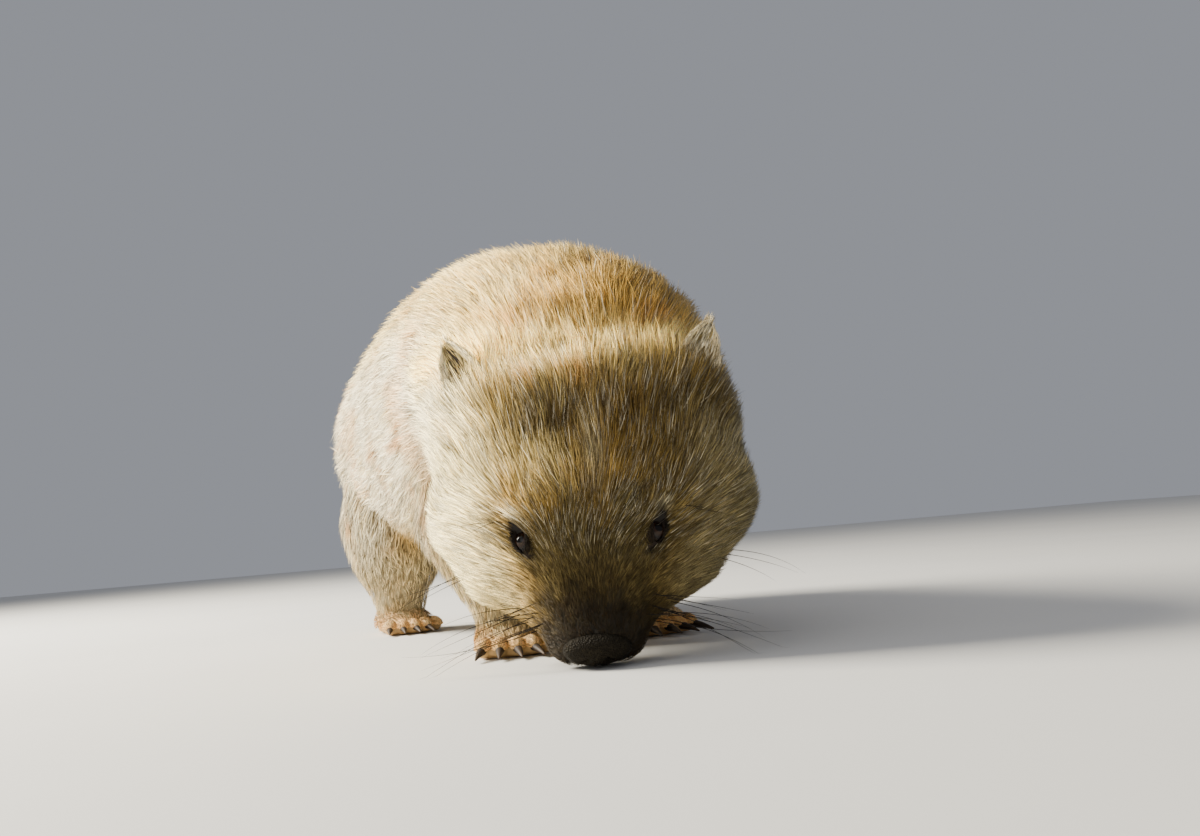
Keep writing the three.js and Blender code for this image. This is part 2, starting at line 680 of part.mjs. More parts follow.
// Head
const jawBlock = underMouth(0);
const jawBlockGrown = underMouth(GAP);
const eyeRoom = join(eyes.map((eye) => eyeBall(eye, EYE_RADIUS + GAP).add(eyeOpening(eye))));
const ears = [1, -1].map((side) => ({ side, solid: earShell(side, 0), grown: earShell(side, GAP) }));
const earRoom = join(ears.map((ear) => ear.grown));
const legRoom = join(legRooms);
const noseGrown = noseBall(GAP);
const headLocks = locksOver({
  start: NECK_END + BEND_GAP,
  end: EYE_AT + 4,
  row: 27,
  column: 47,
  length: 52,
  front: degrees(66),
});
const headSolid = muzzleAndLids
  .add(headLocks.subtract(earRoom).subtract(legRoom))
  .subtract(jawBlockGrown)
  .subtract(eyeRoom)
  .subtract(mouthGroove)
  .subtract(noseGrown)
  .trimByPlane([0, 0, 1], 0);
part.add(meshOf("head", headSolid, fur));
const jawSolid = muzzleAndLids.intersect(jawBlock).subtract(mouthGroove).subtract(noseGrown);
part.add(meshOf("jaw", jawSolid.trimByPlane([0, 0, 1], 0), fur));
part.add(meshOf("nose", noseBall(0).subtract(join(nostrils)).trimByPlane([0, 0, 1], 0), leather));
for (const eye of eyes) {
  part.add(meshOf(`eye_${eye.side > 0 ? "left" : "right"}`, eyeBall(eye, EYE_RADIUS), wet));
}
for (const { side, solid } of ears) {
  const name = `ear_${side > 0 ? "left" : "right"}`;
  part.add(meshOf(name, solid.subtract(headGrown).subtract(bodyGrown), fur));
}

// Tail: a short stub under the coat of the rump.
const TAIL_LENGTH = 34;
const TAIL_RADIUS = 14;
const TAIL_INSIDE = 36;
const TAIL_HEIGHT = 244;
const tailRoot = bodyPoint(2, 0, 0).setZ(TAIL_HEIGHT);
const tailShape = (grown) => {
  const points = [0, 1 / 3, 2 / 3, 1].map((share) => {
    const back = -TAIL_INSIDE + (TAIL_LENGTH + TAIL_INSIDE) * share;
    return new THREE.Vector3(tailRoot.x, tailRoot.y + back, TAIL_HEIGHT - 15 * share);
  });
  return bar(points, (share) => TAIL_RADIUS * (1 - 0.55 * share ** 2) + grown, 10);
};
part.add(meshOf("tail", tailShape(0).subtract(bodyGrown), fur));

// The coat of the torso and neck, clear of the legs and the tail.
const torsoLocks = locksOver({ start: -40, end: TORSO_END, row: 71, column: 76, length: 99 });
const neckLocks = locksOver({
  start: TORSO_END + BEND_GAP,
  end: NECK_END,
  row: 38,
  column: 60,
  length: 66,
});
part.add(meshOf("torso", torsoCore.add(torsoLocks.subtract(legRoom).subtract(tailShape(GAP))), fur));
part.add(meshOf("neck", neckCore.add(neckLocks.subtract(legRoom).subtract(earRoom)), fur));

// The origin goes under the middle of the animal's length and width.
const bounds = new THREE.Box3().setFromObject(part);
const centre = bounds.getCenter(new THREE.Vector3());
part.position.set(-centre.x, -centre.y, -bounds.min.z);

export default part;
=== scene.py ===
"""A life-size wombat, grazing: skin, a coat of single strands, eyes, nose, ears, whiskers and claws."""

import bpy
import numpy as np
from mathutils import Matrix, Vector


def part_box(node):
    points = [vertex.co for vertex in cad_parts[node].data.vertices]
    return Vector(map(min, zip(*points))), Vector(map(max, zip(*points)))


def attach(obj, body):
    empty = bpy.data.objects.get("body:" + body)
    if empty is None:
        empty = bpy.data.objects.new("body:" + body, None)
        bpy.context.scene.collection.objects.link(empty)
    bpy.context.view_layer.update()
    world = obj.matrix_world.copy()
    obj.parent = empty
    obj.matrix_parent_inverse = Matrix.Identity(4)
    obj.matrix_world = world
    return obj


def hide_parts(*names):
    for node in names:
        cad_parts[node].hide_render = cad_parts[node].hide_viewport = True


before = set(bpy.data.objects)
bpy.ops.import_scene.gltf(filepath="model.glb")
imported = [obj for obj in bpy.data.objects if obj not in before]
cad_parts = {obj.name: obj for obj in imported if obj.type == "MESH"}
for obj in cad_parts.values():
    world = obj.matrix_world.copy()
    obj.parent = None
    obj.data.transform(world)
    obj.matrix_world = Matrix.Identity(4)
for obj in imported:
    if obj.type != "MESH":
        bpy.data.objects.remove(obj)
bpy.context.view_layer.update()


# Trunk and head
# One form runs from the rump to the snout. It is worked out in millimetres, facing -Y, from
# cross-sections that each stand square to the line of the body.
SECTIONS = np.array(
    [
        # forward, height, pitch, side, turn, half width, up, down, coat, core, under, hair
        [-322, 205, -8, 0, 0.0, 0.96, 90, 100, 24, 0.50, 8.0, 40],  # rump
        [-215, 216, -5, 0, 0.0, 1.06, 98, 113, 24, 0.50, 8.0, 40],  # hips
        [-90, 223, -2, 0, 0.0, 1.05, 111, 127, 24, 0.50, 8.0, 40],  # loin
        [50, 223, 2, 0, 0.0, 1.02, 122, 126, 24, 0.50, 8.0, 38],  # ribs
        [155, 220, 10, 0, 0.1, 0.96, 116, 110, 26, 0.50, 8.0, 38],  # shoulder
        [218, 208, 26, -2, 0.4, 0.88, 100, 94, 28, 0.50, 8.0, 38],  # collar
        [268, 184, 45, -6, 0.75, 0.82, 84, 84, 27, 0.50, 8.0, 35],  # nape
        [298, 151, 57, -10, 1.0, 0.80, 67, 76, 23, 0.50, 6.5, 31],  # crown
        [320, 112, 63, -17, 1.0, 0.75, 54, 62, 18, 0.62, 5.5, 26],  # cheeks
        [335, 79, 66, -26, 1.0, 0.50, 43, 44, 10, 0.90, 3.4, 18],  # eyes
        [346, 49, 67, -30, 1.0, 0.335, 32, 29, 5, 0.90, 2.0, 11],  # muzzle
        [357, 19, 68, -34, 1.0, 0.26, 24, 21, 3, 0.90, 1.2, 5],  # snout
    ],
)
FORWARD, HEIGHT, PITCH, SIDE, TURN, WIDTH, UP, DOWN, COAT, CORE, UNDER, HAIR = SECTIONS.T
STATION = np.concatenate([[0], np.cumsum(np.hypot(np.diff(FORWARD), np.diff(HEIGHT)))])
COLLAR, NAPE, CROWN, CHEEKS, EYES, MUZZLE, SNOUT = STATION[5:]
HALF_WIDTH = 130
RUMP_CAP = 108
RUMP_ROUNDNESS = 2.5
SNOUT_CAP = 17
SNOUT_END = SNOUT + SNOUT_CAP
HEAD_TURN = np.radians(18)
ROUNDNESS = 2.25
EYE_AT = EYES - 1
EYE_ANGLE = np.radians(41)
# Swellings of the head: distance, angle, spread along, spread round and height.
FORMS = [
    [EYE_AT - 14, 31, 14, 15, 4],
    [EYE_AT + 2, 41, 12, 13, -5],
    [CHEEKS + 6, 106, 34, 40, 15],
    [EYE_AT + 14, 114, 23, 34, 22],
    [CROWN - 19, 0, 15, 60, 6],
    [NAPE - 4, 0, 20, 72, -7],
    [MUZZLE + 4, 92, 15, 30, 4],
    [MUZZLE - 6, 0, 16, 24, -2],
]


def along(distance, values):
    """Smooth cubic through a value per section, sloped as its neighbours' chord, level past the last."""
    last = len(STATION) - 1
    before = np.maximum(np.arange(last + 1) - 1, 0)
    after = np.minimum(np.arange(last + 1) + 1, last)
    slope = (values[after] - values[before]) / (STATION[after] - STATION[before])
    i = np.searchsorted(STATION[1:-1], distance)
    span = STATION[i + 1] - STATION[i]
    t = np.minimum((distance - STATION[i]) / span, 1)
    ends = (2 * t**3 - 3 * t**2 + 1) * values[i] + (3 * t**2 - 2 * t**3) * values[i + 1]
    return ends + span * ((t**3 - 2 * t**2 + t) * slope[i] + (t**3 - t**2) * slope[i + 1])


def vector(x, y, z):
    """Points or directions from their three parts, which may be numbers or arrays."""
    return np.stack(np.broadcast_arrays(x, y, z), -1).astype(float)


def unit(v):
    return v / np.maximum(np.linalg.norm(v, axis=-1, keepdims=True), 1e-9)


def bell(value, middle, spread):
    """1 at the middle, falling to 0 over a few spreads."""
    return np.exp(-(((value - middle) / spread) ** 2))


def squared(value, roundness=ROUNDNESS):
    """A sine or cosine bent so that a circle becomes a superellipse."""
    return np.sign(value) * np.abs(value) ** (2 / roundness)


def from_top(angle):
    """Degrees from the top of the body, alike on both sides."""
    return np.degrees(np.abs(np.arctan2(np.sin(angle), np.cos(angle))))


def body_frame(distance):
    """Middle of the cross-section and its axes: ahead along the body, upward and to the animal's left."""
    turn = along(distance, TURN) * HEAD_TURN
    pitch = np.radians(along(distance, PITCH))
    ahead = vector(-np.sin(turn) * np.cos(pitch), -np.cos(turn) * np.cos(pitch), -np.sin(pitch))
    upward = vector(-np.sin(turn) * np.sin(pitch), -np.cos(turn) * np.sin(pitch), np.cos(pitch))
    leftward = vector(np.cos(turn), -np.sin(turn), 0 * turn)
    middle = vector(along(distance, SIDE), -along(distance, FORWARD), along(distance, HEIGHT))
    return middle + ahead * np.maximum(distance - SNOUT, 0)[..., None], ahead, upward, leftward


def body_point(distance, angle, lift):
    """Superellipse round each middle, closed by round ends, with bell-shaped swellings, raised by lift."""
    distance, angle, lift = np.broadcast_arrays(np.asarray(distance, float), angle, lift)
    middle, ahead, upward, leftward = body_frame(distance)
    rump = np.clip(1 - distance / RUMP_CAP, 0, 1)
    snout = np.clip((distance - SNOUT) / SNOUT_CAP, 0, 1)
    size = (1 - rump**RUMP_ROUNDNESS) ** (1 / RUMP_ROUNDNESS) * np.sqrt(1 - snout**2)
    turned = from_top(angle)
    form = lift
    for at, round_at, spread, round_spread, height in FORMS:
        form = form + height * bell(distance, at, spread) * bell(turned, round_at, round_spread)
    tall = np.where(np.cos(angle) > 0, along(distance, UP), along(distance, DOWN))
    out = size * squared(np.sin(angle)) * (HALF_WIDTH * along(distance, WIDTH) + form)
    up = size * squared(np.cos(angle)) * (tall + form)
    point = middle + ahead * (lift * (snout - rump))[..., None]
    return point + leftward * out[..., None] + upward * up[..., None]


RUFF_DEPTH = 14
RUFF_CORE = 0.4


def even_depth(distance, angle):
    """Depth of the coat above the bare form without the ruff, shorter on the belly."""
    return along(distance, COAT) * (0.82 + 0.18 * np.cos(angle))


def ruff_depth(distance, angle):
    """Longer hair round the cheeks: a bell along the body times a bell round it."""
    return RUFF_DEPTH * bell(distance, EYE_AT + 6, 40) * bell(from_top(angle), 112, 42)


def coat_depth(distance, angle):
    return even_depth(distance, angle) + ruff_depth(distance, angle)


def core_depth(distance, angle):
    """Depth of the dense inner coat above the bare form."""
    return even_depth(distance, angle) * along(distance, CORE) + ruff_depth(distance, angle) * RUFF_CORE


def skin_lift(distance, angle):
    """The skin lies under the dense inner coat, deeper where the coat is deep, less deep round the eyes."""
    orbit = bell(distance, EYE_AT, 13) * bell(from_top(angle), 41, 14)
    return core_depth(distance, angle) - along(distance, UNDER) * (1 - 0.85 * orbit)


# Legs
# Level rings run from inside the trunk down to the ankle, and a leg slants to its foot by its stride.
LEG_RINGS = {
    # height, side, forward, half across, half along
    "front": np.array(
        [[217, 62, -8, 48, 62], [160, 80, -12, 46, 57], [108, 82, -14, 39, 45],
         [67, 76, -4, 27, 31], [36, 72, 2, 21, 22], [18, 71, 4, 20, 20]], float),
    "hind": np.array(
        [[247, 60, -6, 46, 84], [186, 82, 4, 52, 82], [127, 90, 14, 49, 68],
         [76, 88, 0, 37, 45], [41, 85, -12, 25, 30], [20, 84, -14, 21, 24]], float),
}
STANCES = {
    # kind, side, forward, stride, spread, turn of the foot
    "front_left": ("front", 1, 138, 4, 10, 6),
    "front_right": ("front", -1, 146, 38, -12, -6),
    "hind_left": ("hind", 1, -176, 12, 2, -6),
    "hind_right": ("hind", -1, -186, -14, 8, 6),
}
LEG_SKIN = 2.5


def leg_point(place, height, angle, lift):
    """Superellipse in a level ring, whose middle and half sizes blend from one named ring to the next."""
    kind, side, forward, stride, spread, _ = STANCES[place]
    rings = LEG_RINGS[kind]
    height, angle, lift = np.broadcast_arrays(np.asarray(height, float), angle, lift)
    i = np.searchsorted(-rings[1:-1, 0], -height)
    t = np.clip((rings[i, 0] - height) / (rings[i, 0] - rings[i + 1, 0]), 0, 1.2)
    share = (t * t * (3 - 2 * t) * 0.5 + t * 0.5)[..., None]
    out, ahead, across, deep = np.moveaxis(rings[i, 1:] + (rings[i + 1, 1:] - rings[i, 1:]) * share, -1, 0)
    x = side * (out + spread) + (across + lift) * squared(np.cos(angle))
    y = (deep + lift) * squared(np.sin(angle))
    return vector(x, y - (forward + ahead + stride * (1 - height / rings[0, 0])), height)


# Feet
# Broad, flat-soled feet with five short toes in a fan, bare underneath.
FEET = {
    # heel, toes, half width, height, length of a claw, fan
    "front": (-30, 36, 31, 36, 27, 17),
    "hind": (-36, 52, 31, 36, 21, 14),
}
TOE = np.array([8.0, 15.0, 10.0])
TOE_SKIN = -1.2
FOOT_SKIN = -1.5


def standing(turn, x, y, z):
    """Matrix of a turn in degrees about the upright and of a place."""
    cosine, sine = np.cos(np.radians(turn)), np.sin(np.radians(turn))
    return np.array([[cosine, -sine, 0, x], [sine, cosine, 0, y], [0, 0, 1, z], [0, 0, 0, 1]])


def placed(matrix, points):
    return points @ matrix[:3, :3].T + matrix[:3, 3]


def foot_matrix(place):
    """Turn and place of a foot: its ankle's spot on the floor."""
    kind, side, forward, stride, spread, turn = STANCES[place]
    ankle = LEG_RINGS[kind][-1]
    return standing(turn, side * (ankle[1] + spread), -(forward + ankle[2] + stride), 0)


def foot_point(place, share, angle, lift):
    """Superellipse along the foot from heel to toes, lower towards the toes."""
    heel, toes, half, tall = FEET[STANCES[place][0]][:4]
    share, angle, lift = np.broadcast_arrays(np.asarray(share, float), angle, lift)
    swell = np.sqrt(np.maximum(0.02, 1 - (2 * share - 1) ** 6))
    height = tall * 0.62 * swell * (1 - 0.38 * share)
    x = (half * swell * (0.86 + 0.14 * share) + lift) * squared(np.sin(angle))
    z = height * 0.6 + (height + lift) * squared(np.cos(angle))
    return placed(foot_matrix(place), vector(x, -(heel + (toes - heel) * share), z))


def toe_matrices(place):
    """Place of each toe, fanned round the front of the foot."""
    _, toes, half, _, _, fan = FEET[STANCES[place][0]]
    return [
        foot_matrix(place)
        @ standing(fan * rank * 0.55, half * 0.82 * rank / 2, -(toes - 1.6 * rank**2), TOE[2] * 0.72)
        for rank in range(-2, 3)
    ]


def round_turn(count):
    return np.linspace(0, 2 * np.pi, count, endpoint=False)


def steps(start, end, count):
    return np.linspace(start, end, count)[:, None]


def around(rows, columns):
    """Each point of the rings of a tube, and the next one round its ring."""
    row, column = np.mgrid[0:rows, 0:columns]
    return (row * columns + column).ravel(), (row * columns + (column + 1) % columns).ravel()


def tube_faces(rows, columns):
    """Triangles between the rings of a tube, and a fan to a point after them at each end."""
    a, b = around(rows - 1, columns)
    walls = np.stack([a, a + columns, b, b, a + columns, b + columns], -1)
    first, after = around(1, columns)
    end = (rows - 1) * columns
    start_fan = np.stack([0 * first + rows * columns, first, after], -1)
    end_fan = np.stack([0 * first + rows * columns + 1, end + after, end + first], -1)
    return np.concatenate([walls.reshape(-1, 3), start_fan, end_fan])


def facing_out(points, faces):
    """The faces, turned round where the closed form they make has a negative volume."""
    a, b, c = (points[faces[:, k]] for k in range(3))
    volume = np.einsum("ij,ij->", a, np.cross(b, c))
    return faces if volume > 0 else faces[:, ::-1]


def closed(rings):
    """A closed tube from its rings of points, with the middle of each end ring as its cap."""
    points = np.concatenate([rings.reshape(-1, 3), rings[:1].mean(1), rings[-1:].mean(1)])
    return points, facing_out(points, tube_faces(*rings.shape[:2]))


def ball(radii, matrix, rows=20, columns=24):
    """An ellipsoid: rings of the given half sizes from pole to pole, then both poles."""
    polar, turn = steps(0, np.pi, rows + 2)[1:-1], round_turn(columns)
    rings = vector(np.sin(polar) * np.cos(turn), np.sin(polar) * np.sin(turn), np.cos(polar) + 0 * turn)
    points = placed(matrix, np.concatenate([rings.reshape(-1, 3), [[0, 0, 1], [0, 0, -1]]]) * radii)
    return points, facing_out(points, tube_faces(rows, columns))


def joined(parts):
    """Several (points, faces) as one."""
    shift = np.cumsum([0] + [len(points) for points, _ in parts[:-1]])
    faces = [faces + start for (_, faces), start in zip(parts, shift)]
    return np.concatenate([points for points, _ in parts]), np.concatenate(faces)


# Place of the eyes
# Each looks out and up from its socket. The frame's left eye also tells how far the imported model
# was moved to stand over its origin.
EYE_FACING = np.radians(27)
EYE_RADIUS = 9.5
EYE_DEPTH = 6.2


def eye_frame(side):
    """Point of the skin at the eye, the way it looks, and the way the slit runs."""
    _, ahead, upward, leftward = body_frame(EYE_AT)
    outward = upward * np.cos(EYE_FACING) + leftward * side * np.sin(EYE_FACING)
    return body_point(EYE_AT, side * EYE_ANGLE, core_depth(EYE_AT, EYE_ANGLE)), outward, ahead


def eye_offset(points, side):
    """How far each point in mm is from an eye: along its slit, across it, and in all."""
    spot, outward, ahead = eye_frame(side)
    offset = points - spot
    return offset @ ahead, offset @ np.cross(outward, ahead), np.linalg.norm(offset, axis=-1)


eye_spot, eye_out, _ = eye_frame(1)
low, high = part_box("eye_left")
SHIFT = np.array((low + high) / 2) * 1000 - (eye_spot - eye_out * EYE_DEPTH)


def mesh_piece(name, form, gap=None):
    """A smooth mesh in metres from points in mm and faces of one kind, lifted to the gap over the floor."""
    points, faces = form
    if gap is not None:
        points[:, 2] = np.maximum(points[:, 2], gap - SHIFT[2])
    mesh = bpy.data.meshes.new(name)
    mesh.vertices.add(len(points))
    mesh.vertices.foreach_set("co", ((points + SHIFT) / 1000).astype(np.float32).ravel())
    mesh.loops.add(faces.size)
    mesh.loops.foreach_set("vertex_index", faces.astype(np.int32).ravel())
    mesh.polygons.add(len(faces))
    mesh.polygons.foreach_set("loop_start", np.arange(len(faces), dtype=np.int32) * faces.shape[1])
    mesh.update(calc_edges=True)
    mesh.polygons.foreach_set("use_smooth", np.ones(len(faces), bool))
    piece = bpy.data.objects.new(name, mesh)
    bpy.context.scene.collection.objects.link(piece)
    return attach(piece, "root")


# Markings
# The coat is sandy gold over the brow and back, cream across the crown and along the flanks, rufous
# in places, olive brown on the lower face and nearly black at the muzzle. Skin and hair share it.
# Some layers hold painted light: sunlight on the crown band and the paws, shade on the left of the head.
def cloud(points, size, seed=0):
    """Smooth noise from 0 to 1: random numbers on a lattice of that size in mm, blended between corners."""
    scaled = points / size + 100 + 17.3 * seed
    cell = np.floor(scaled).astype(np.int64)
    t = scaled - cell
    t = t * t * (3 - 2 * t)
    total = 0
    for corner in np.ndindex(2, 2, 2):
        x, y, z = np.moveaxis(cell + corner, -1, 0)
        mixed = (x * 73856093) ^ (y * 19349663) ^ (z * 83492791) ^ (seed * 2654435761)
        mixed = (mixed ^ (mixed >> 13)) * 1274126177 % 1000003
        share = np.prod(np.where(corner, t, 1 - t), -1)
        total = total + share * mixed / 1000003
    return total


def linear(red, green, blue):
    """Linear colour of a display colour given from 0 to 255."""
    part = np.array([red, green, blue]) / 255
    return np.where(part < 0.04045, part / 12.92, ((part + 0.055) / 1.055) ** 2.4)


def ramp(value, low, high):
    """0 below low, 1 above high, smooth between them."""
    t = np.clip((value - low) / (high - low), 0, 1)
    return t * t * (3 - 2 * t)


def blend(first, second, share):
    return first + (second - first) * np.asarray(share)[..., None]


GOLD = linear(211, 172, 94)
CREAM = linear(252, 243, 214)
SAND = linear(233, 206, 138)
BROWN = linear(104, 82, 44)
RUFOUS = linear(206, 140, 62)
OLIVE = linear(116, 104, 70)
GREY = linear(134, 123, 96)
DARK = linear(36, 30, 23)
SABLE = linear(72, 50, 24)
# Cream of the band across the crown, made 1.35 times brighter as painted sunlight.
SUNLIT = linear(255, 228, 152) * 1.35
APRICOT = linear(240, 186, 118)
SILVER = linear(206, 198, 170)
CHEEK = linear(252, 237, 190)
LIMB = linear(240, 222, 176)
# Pinkish-orange paw fur, made 1.4 times brighter as painted sunlight.
PAW = linear(230, 180, 112) * 1.4
WARMTH = np.array([0, 0.02, 0.18])
HEAD_MIDDLE = np.array([SIDE[7], -FORWARD[7], 0])
nose_middle = body_frame(SNOUT_END - 10)[0]


def markings(points):
    """Colour of the coat at points in mm: layers by place and noise, each blended over those before."""
    x, y, z = np.moveaxis(points, -1, 0)
    broad, tuft, fine, fleck = (cloud(points, *grain) for grain in ((62, 1), (19, 2), (7, 3), (3.2, 4)))
    from_middle = points - HEAD_MIDDLE
    ahead = -from_middle[..., 1] * np.cos(HEAD_TURN) - from_middle[..., 0] * np.sin(HEAD_TURN)
    aside = from_middle[..., 0] * np.cos(HEAD_TURN) - from_middle[..., 1] * np.sin(HEAD_TURN)
    head = ramp(ahead, -60, -15)
    trunk = 1 - head
    brow_front = ramp(ahead, 10, 40)
    face_front = ramp(ahead, 20, 50)
    face_half = 38 + 24 * ramp(z, 50, 120)

    saddle = ramp(z, 235, 315) * ramp(x, -30, 50) * ramp(tuft + 0.4 * fine, 0.3, 0.8)
    flank = ramp(np.abs(x + 6), 86, 128) * (1 - ramp(z, 250, 335))
    streak = ramp(cloud(points * (1, 0.45, 1), 15, 5) + 0.3 * fleck, 0.85, 1.1) * (1 - 0.6 * head)
    streak = streak * (1 - 0.6 * ramp(z, 250, 320)) * (0.5 + 0.5 * ramp(z, 60, 150))
    flecked = ramp(ahead, -75, -30) * bell(z, 266, 12) * (bell(aside, -50, 14) + bell(aside, 62, 24))
    flecked = flecked + bell(z, 218, 12) * (bell(aside, -4, 20) + 0.7 * bell(aside, -48, 12)) * head
    rump = ramp(y, 120, 230) * bell(z, 262, 50) * ramp(tuft + 0.5 * fine, 0.4, 0.9)
    wash = flank * trunk * ramp(cloud(points * (1, 1, 0.45), 24, 6) + 0.35 * tuft, 0.72, 1.02)
    # Painted shade: olive over the left side of the head, below the crown.
    painted_shade = head * ramp(aside, 0, 70) * (1 - ramp(z, 200, 240))
    brow = bell(z + 18 * (tuft - 0.5), 188, 24) * (bell(aside, -32, 34) + 0.8 * bell(aside, 30, 28))
    brow = np.minimum(1.1 * brow * brow_front, 0.92) * ramp(0.8 * tuft + fine + 0.4 * fleck, 0.6, 1.15)
    blaze = bell(aside, 4, 9) * bell(z, 160, 26) * brow_front
    cheek = ramp(np.abs(aside), face_half, face_half + 34) * (1 - ramp(z, 150, 205)) * ramp(z, 26, 60) * head
    # Painted shade: the cream of the cheek is weaker on the left side of the head.
    cheek = cheek * (1 - 0.55 * ramp(aside, 0, 60)) * ramp(tuft + 0.5 * fine, 0.1, 0.6)
    face = face_front * (1 - ramp(z + 30 * tuft, 112, 165))
    face = face * (1 - ramp(np.abs(aside), face_half - 6, face_half + 24))
    bridge = bell(aside, 6, 26) * bell(z, 98, 36) * face_front
    muzzle = 1 - ramp(np.linalg.norm(points - nose_middle, axis=-1) + 16 * fine, 40, 84)
    layers = [
        (GOLD, ramp(broad + 0.5 * tuft, 0.5, 0.95)),
        (BROWN, 0.45 * trunk * ramp(z, 215, 320) * ramp(broad + 0.5 * fine, 0.65, 1.05)),
        (GREY * 1.25, 0.65 * trunk * saddle),
        (CREAM, 0.95 * flank * ramp(tuft + 0.5 * fine, 0.05, 0.55)),
        # The cream crown band, with painted sunlight.
        (SUNLIT, 0.92 * head * bell(z, 243, 17) * (0.65 + 0.35 * tuft)),
        (RUFOUS, 0.62 * streak),
        (RUFOUS, 0.65 * np.minimum(flecked, 1) * ramp(fine + 0.4 * fleck, 0.4, 0.8)),
        (RUFOUS, 0.65 * rump),
        (APRICOT, 0.5 * wash),
        (OLIVE, 0.75 * painted_shade),
        (BROWN * 0.55, brow),
        (SILVER, 0.6 * blaze),
        (CHEEK, 0.85 * cheek),
        (OLIVE, 0.9 * face),
        (OLIVE * 0.45, 0.55 * bridge),
        (DARK, 0.94 * muzzle),
    ]
    for side in (1, -1):
        long_way, short_way, _ = eye_offset(points, side)
        layers.append((CREAM, 0.65 * bell(long_way, -15, 5) * bell(short_way, 0, 6)))
        layers.append((DARK, 0.95 * np.exp(-((long_way / 13) ** 4) - (short_way / 6) ** 4)))
    layers += [
        (LIMB, 0.9 * trunk * (1 - ramp(z + 30 * tuft, 60, 150))),
        # The paws, with painted sunlight.
        (PAW, 0.8 * trunk * (1 - ramp(z + 14 * fine, 14, 40))),
        (GREY, 0.5 * (1 - ramp(z, 105, 150)) * (1 - ramp(np.abs(x), 40, 90)) * ramp(y, -245, -200)),
    ]
    colour = SAND
    for tone, share in layers:
        colour = blend(colour, tone, share)
    colour = colour * (1 - WARMTH * np.maximum(head, ramp(z, 250, 320))[..., None])
    broken = 0.5 + 0.5 * head
    return colour * (1 - broken + broken * (0.5 + 0.6 * fine + 0.4 * fleck))[..., None]


class Value:
    """A socket that + * and ** join to numbers and other values with Math nodes."""

    def __init__(self, finish, socket):
        self.finish, self.socket = finish, socket

    def math(self, operation, other):
        settings = {"operation": operation}
        return self.finish.node("ShaderNodeMath", settings=settings, Value=self, Value_001=other)

    def __add__(self, other):
        return self.math("ADD", other)

    def __mul__(self, other):
        return self.math("MULTIPLY", other)

    def __pow__(self, other):
        return self.math("POWER", other)

    __radd__, __rmul__ = __add__, __mul__


class Finish:
    """A material: any node comes from node(), its settings first and then its sockets' values or links."""

    def __init__(self, name):
        self.material = bpy.data.materials.new(name)
        self.material.use_nodes = True
        self.tree = self.material.node_tree
        self.shader = self.tree.nodes["Principled BSDF"]
        self.place = self.node("ShaderNodeTexCoord", "Object")

    def node(self, kind, output=None, settings=None, stops=(), **values):
        made = self.tree.nodes.new(kind)
        for key, value in (settings or {}).items():
            setattr(made, key, value)
        for _ in stops[2:]:
            made.color_ramp.elements.new(0.5)
        for number, (position, colour) in enumerate(stops):
            made.color_ramp.elements[number].position = position
            made.color_ramp.elements[number].color = (*colour, 1)
        for key, value in values.items():
            self.feed(next(s for s in made.inputs if key in (s.identifier, s.name)), value)
        return Value(self, next(s for s in made.outputs if output in (None, s.identifier, s.name)))

    def feed(self, slot, value):
        if isinstance(value, Value):
            self.tree.links.new(value.socket, slot)
        else:
            slot.default_value = (*value, 1) if slot.type == "RGBA" else value

    def mix(self, first, second, share):
        """A blend of two colours."""
        settings = {"data_type": "RGBA"}
        return self.node(
            "ShaderNodeMix", "Result_Color", settings, Factor_Float=share, A_Color=first, B_Color=second)

    def shade(self, colour, share):
        """A colour made lighter or darker: each part times the share."""
        return self.node("ShaderNodeVectorMath", settings={"operation": "SCALE"}, Vector=colour, Scale=share)

    def tint(self, first, second):
        """Two colours multiplied."""
        settings = {"operation": "MULTIPLY"}
        return self.node("ShaderNodeVectorMath", settings=settings, Vector=first, Vector_001=second)

    def noise(self, scale, detail=3):
        return self.node("ShaderNodeTexNoise", Vector=self.place, Scale=scale, Detail=detail)

    def attribute(self, name, output="Fac"):
        return self.node("ShaderNodeAttribute", output, {"attribute_name": name})

    def finish(self, *pieces, height=None, strength=0.3, distance=0.001, **values):
        """Give the shader its values, with a bump from the height, and the pieces this material."""
        if height is not None:
            values["Normal"] = self.node(
                "ShaderNodeBump", Strength=strength, Distance=distance, Height=height)
        for key, value in values.items():
            self.feed(self.shader.inputs[key.replace("_", " ")], value)
        for piece in pieces:
            piece.data.materials.append(self.material)


def paint(piece, name, values):
    """A colour for each point, kept with the mesh for its material."""
    layer = piece.data.color_attributes.new(name, "FLOAT_COLOR", "POINT")
    values = np.concatenate([values, np.ones((len(values), 1))], -1)
    layer.data.foreach_set("color", values.astype(np.float32).ravel())


def mark(piece, name, values):
    """A number for each point."""
    layer = piece.data.attributes.new(name, "FLOAT", "POINT")
    layer.data.foreach_set("value", values.astype(np.float32))


# Skin
# One hide over trunk, head, legs and feet. The overlapping forms are fused on a fine grid and
# smoothed, so that no seam shows where a leg or the neck begins. It dips under the lids.
VOXEL = 0.0034
LID_DIP = 3.5
LID_EDGE = (10.5, 4.8)
EYE_NEAR = 45
TAIL_THICK = 12
TAIL_LENGTH = 54
TAIL_SUNK = 34
TAIL_HEIGHT = 244
TAIL_FALL = 15


def eye_reach(points, side):
    """How far each point is from an eye, where 1 is the edge of its lids: an ellipse along the slit."""
    long_way, short_way, away = eye_offset(points, side)
    return np.where(away < EYE_NEAR, np.hypot(long_way / LID_EDGE[0], short_way / LID_EDGE[1]), 9.0)


def from_eyes(points):
    return np.minimum(eye_reach(points, 1), eye_reach(points, -1))


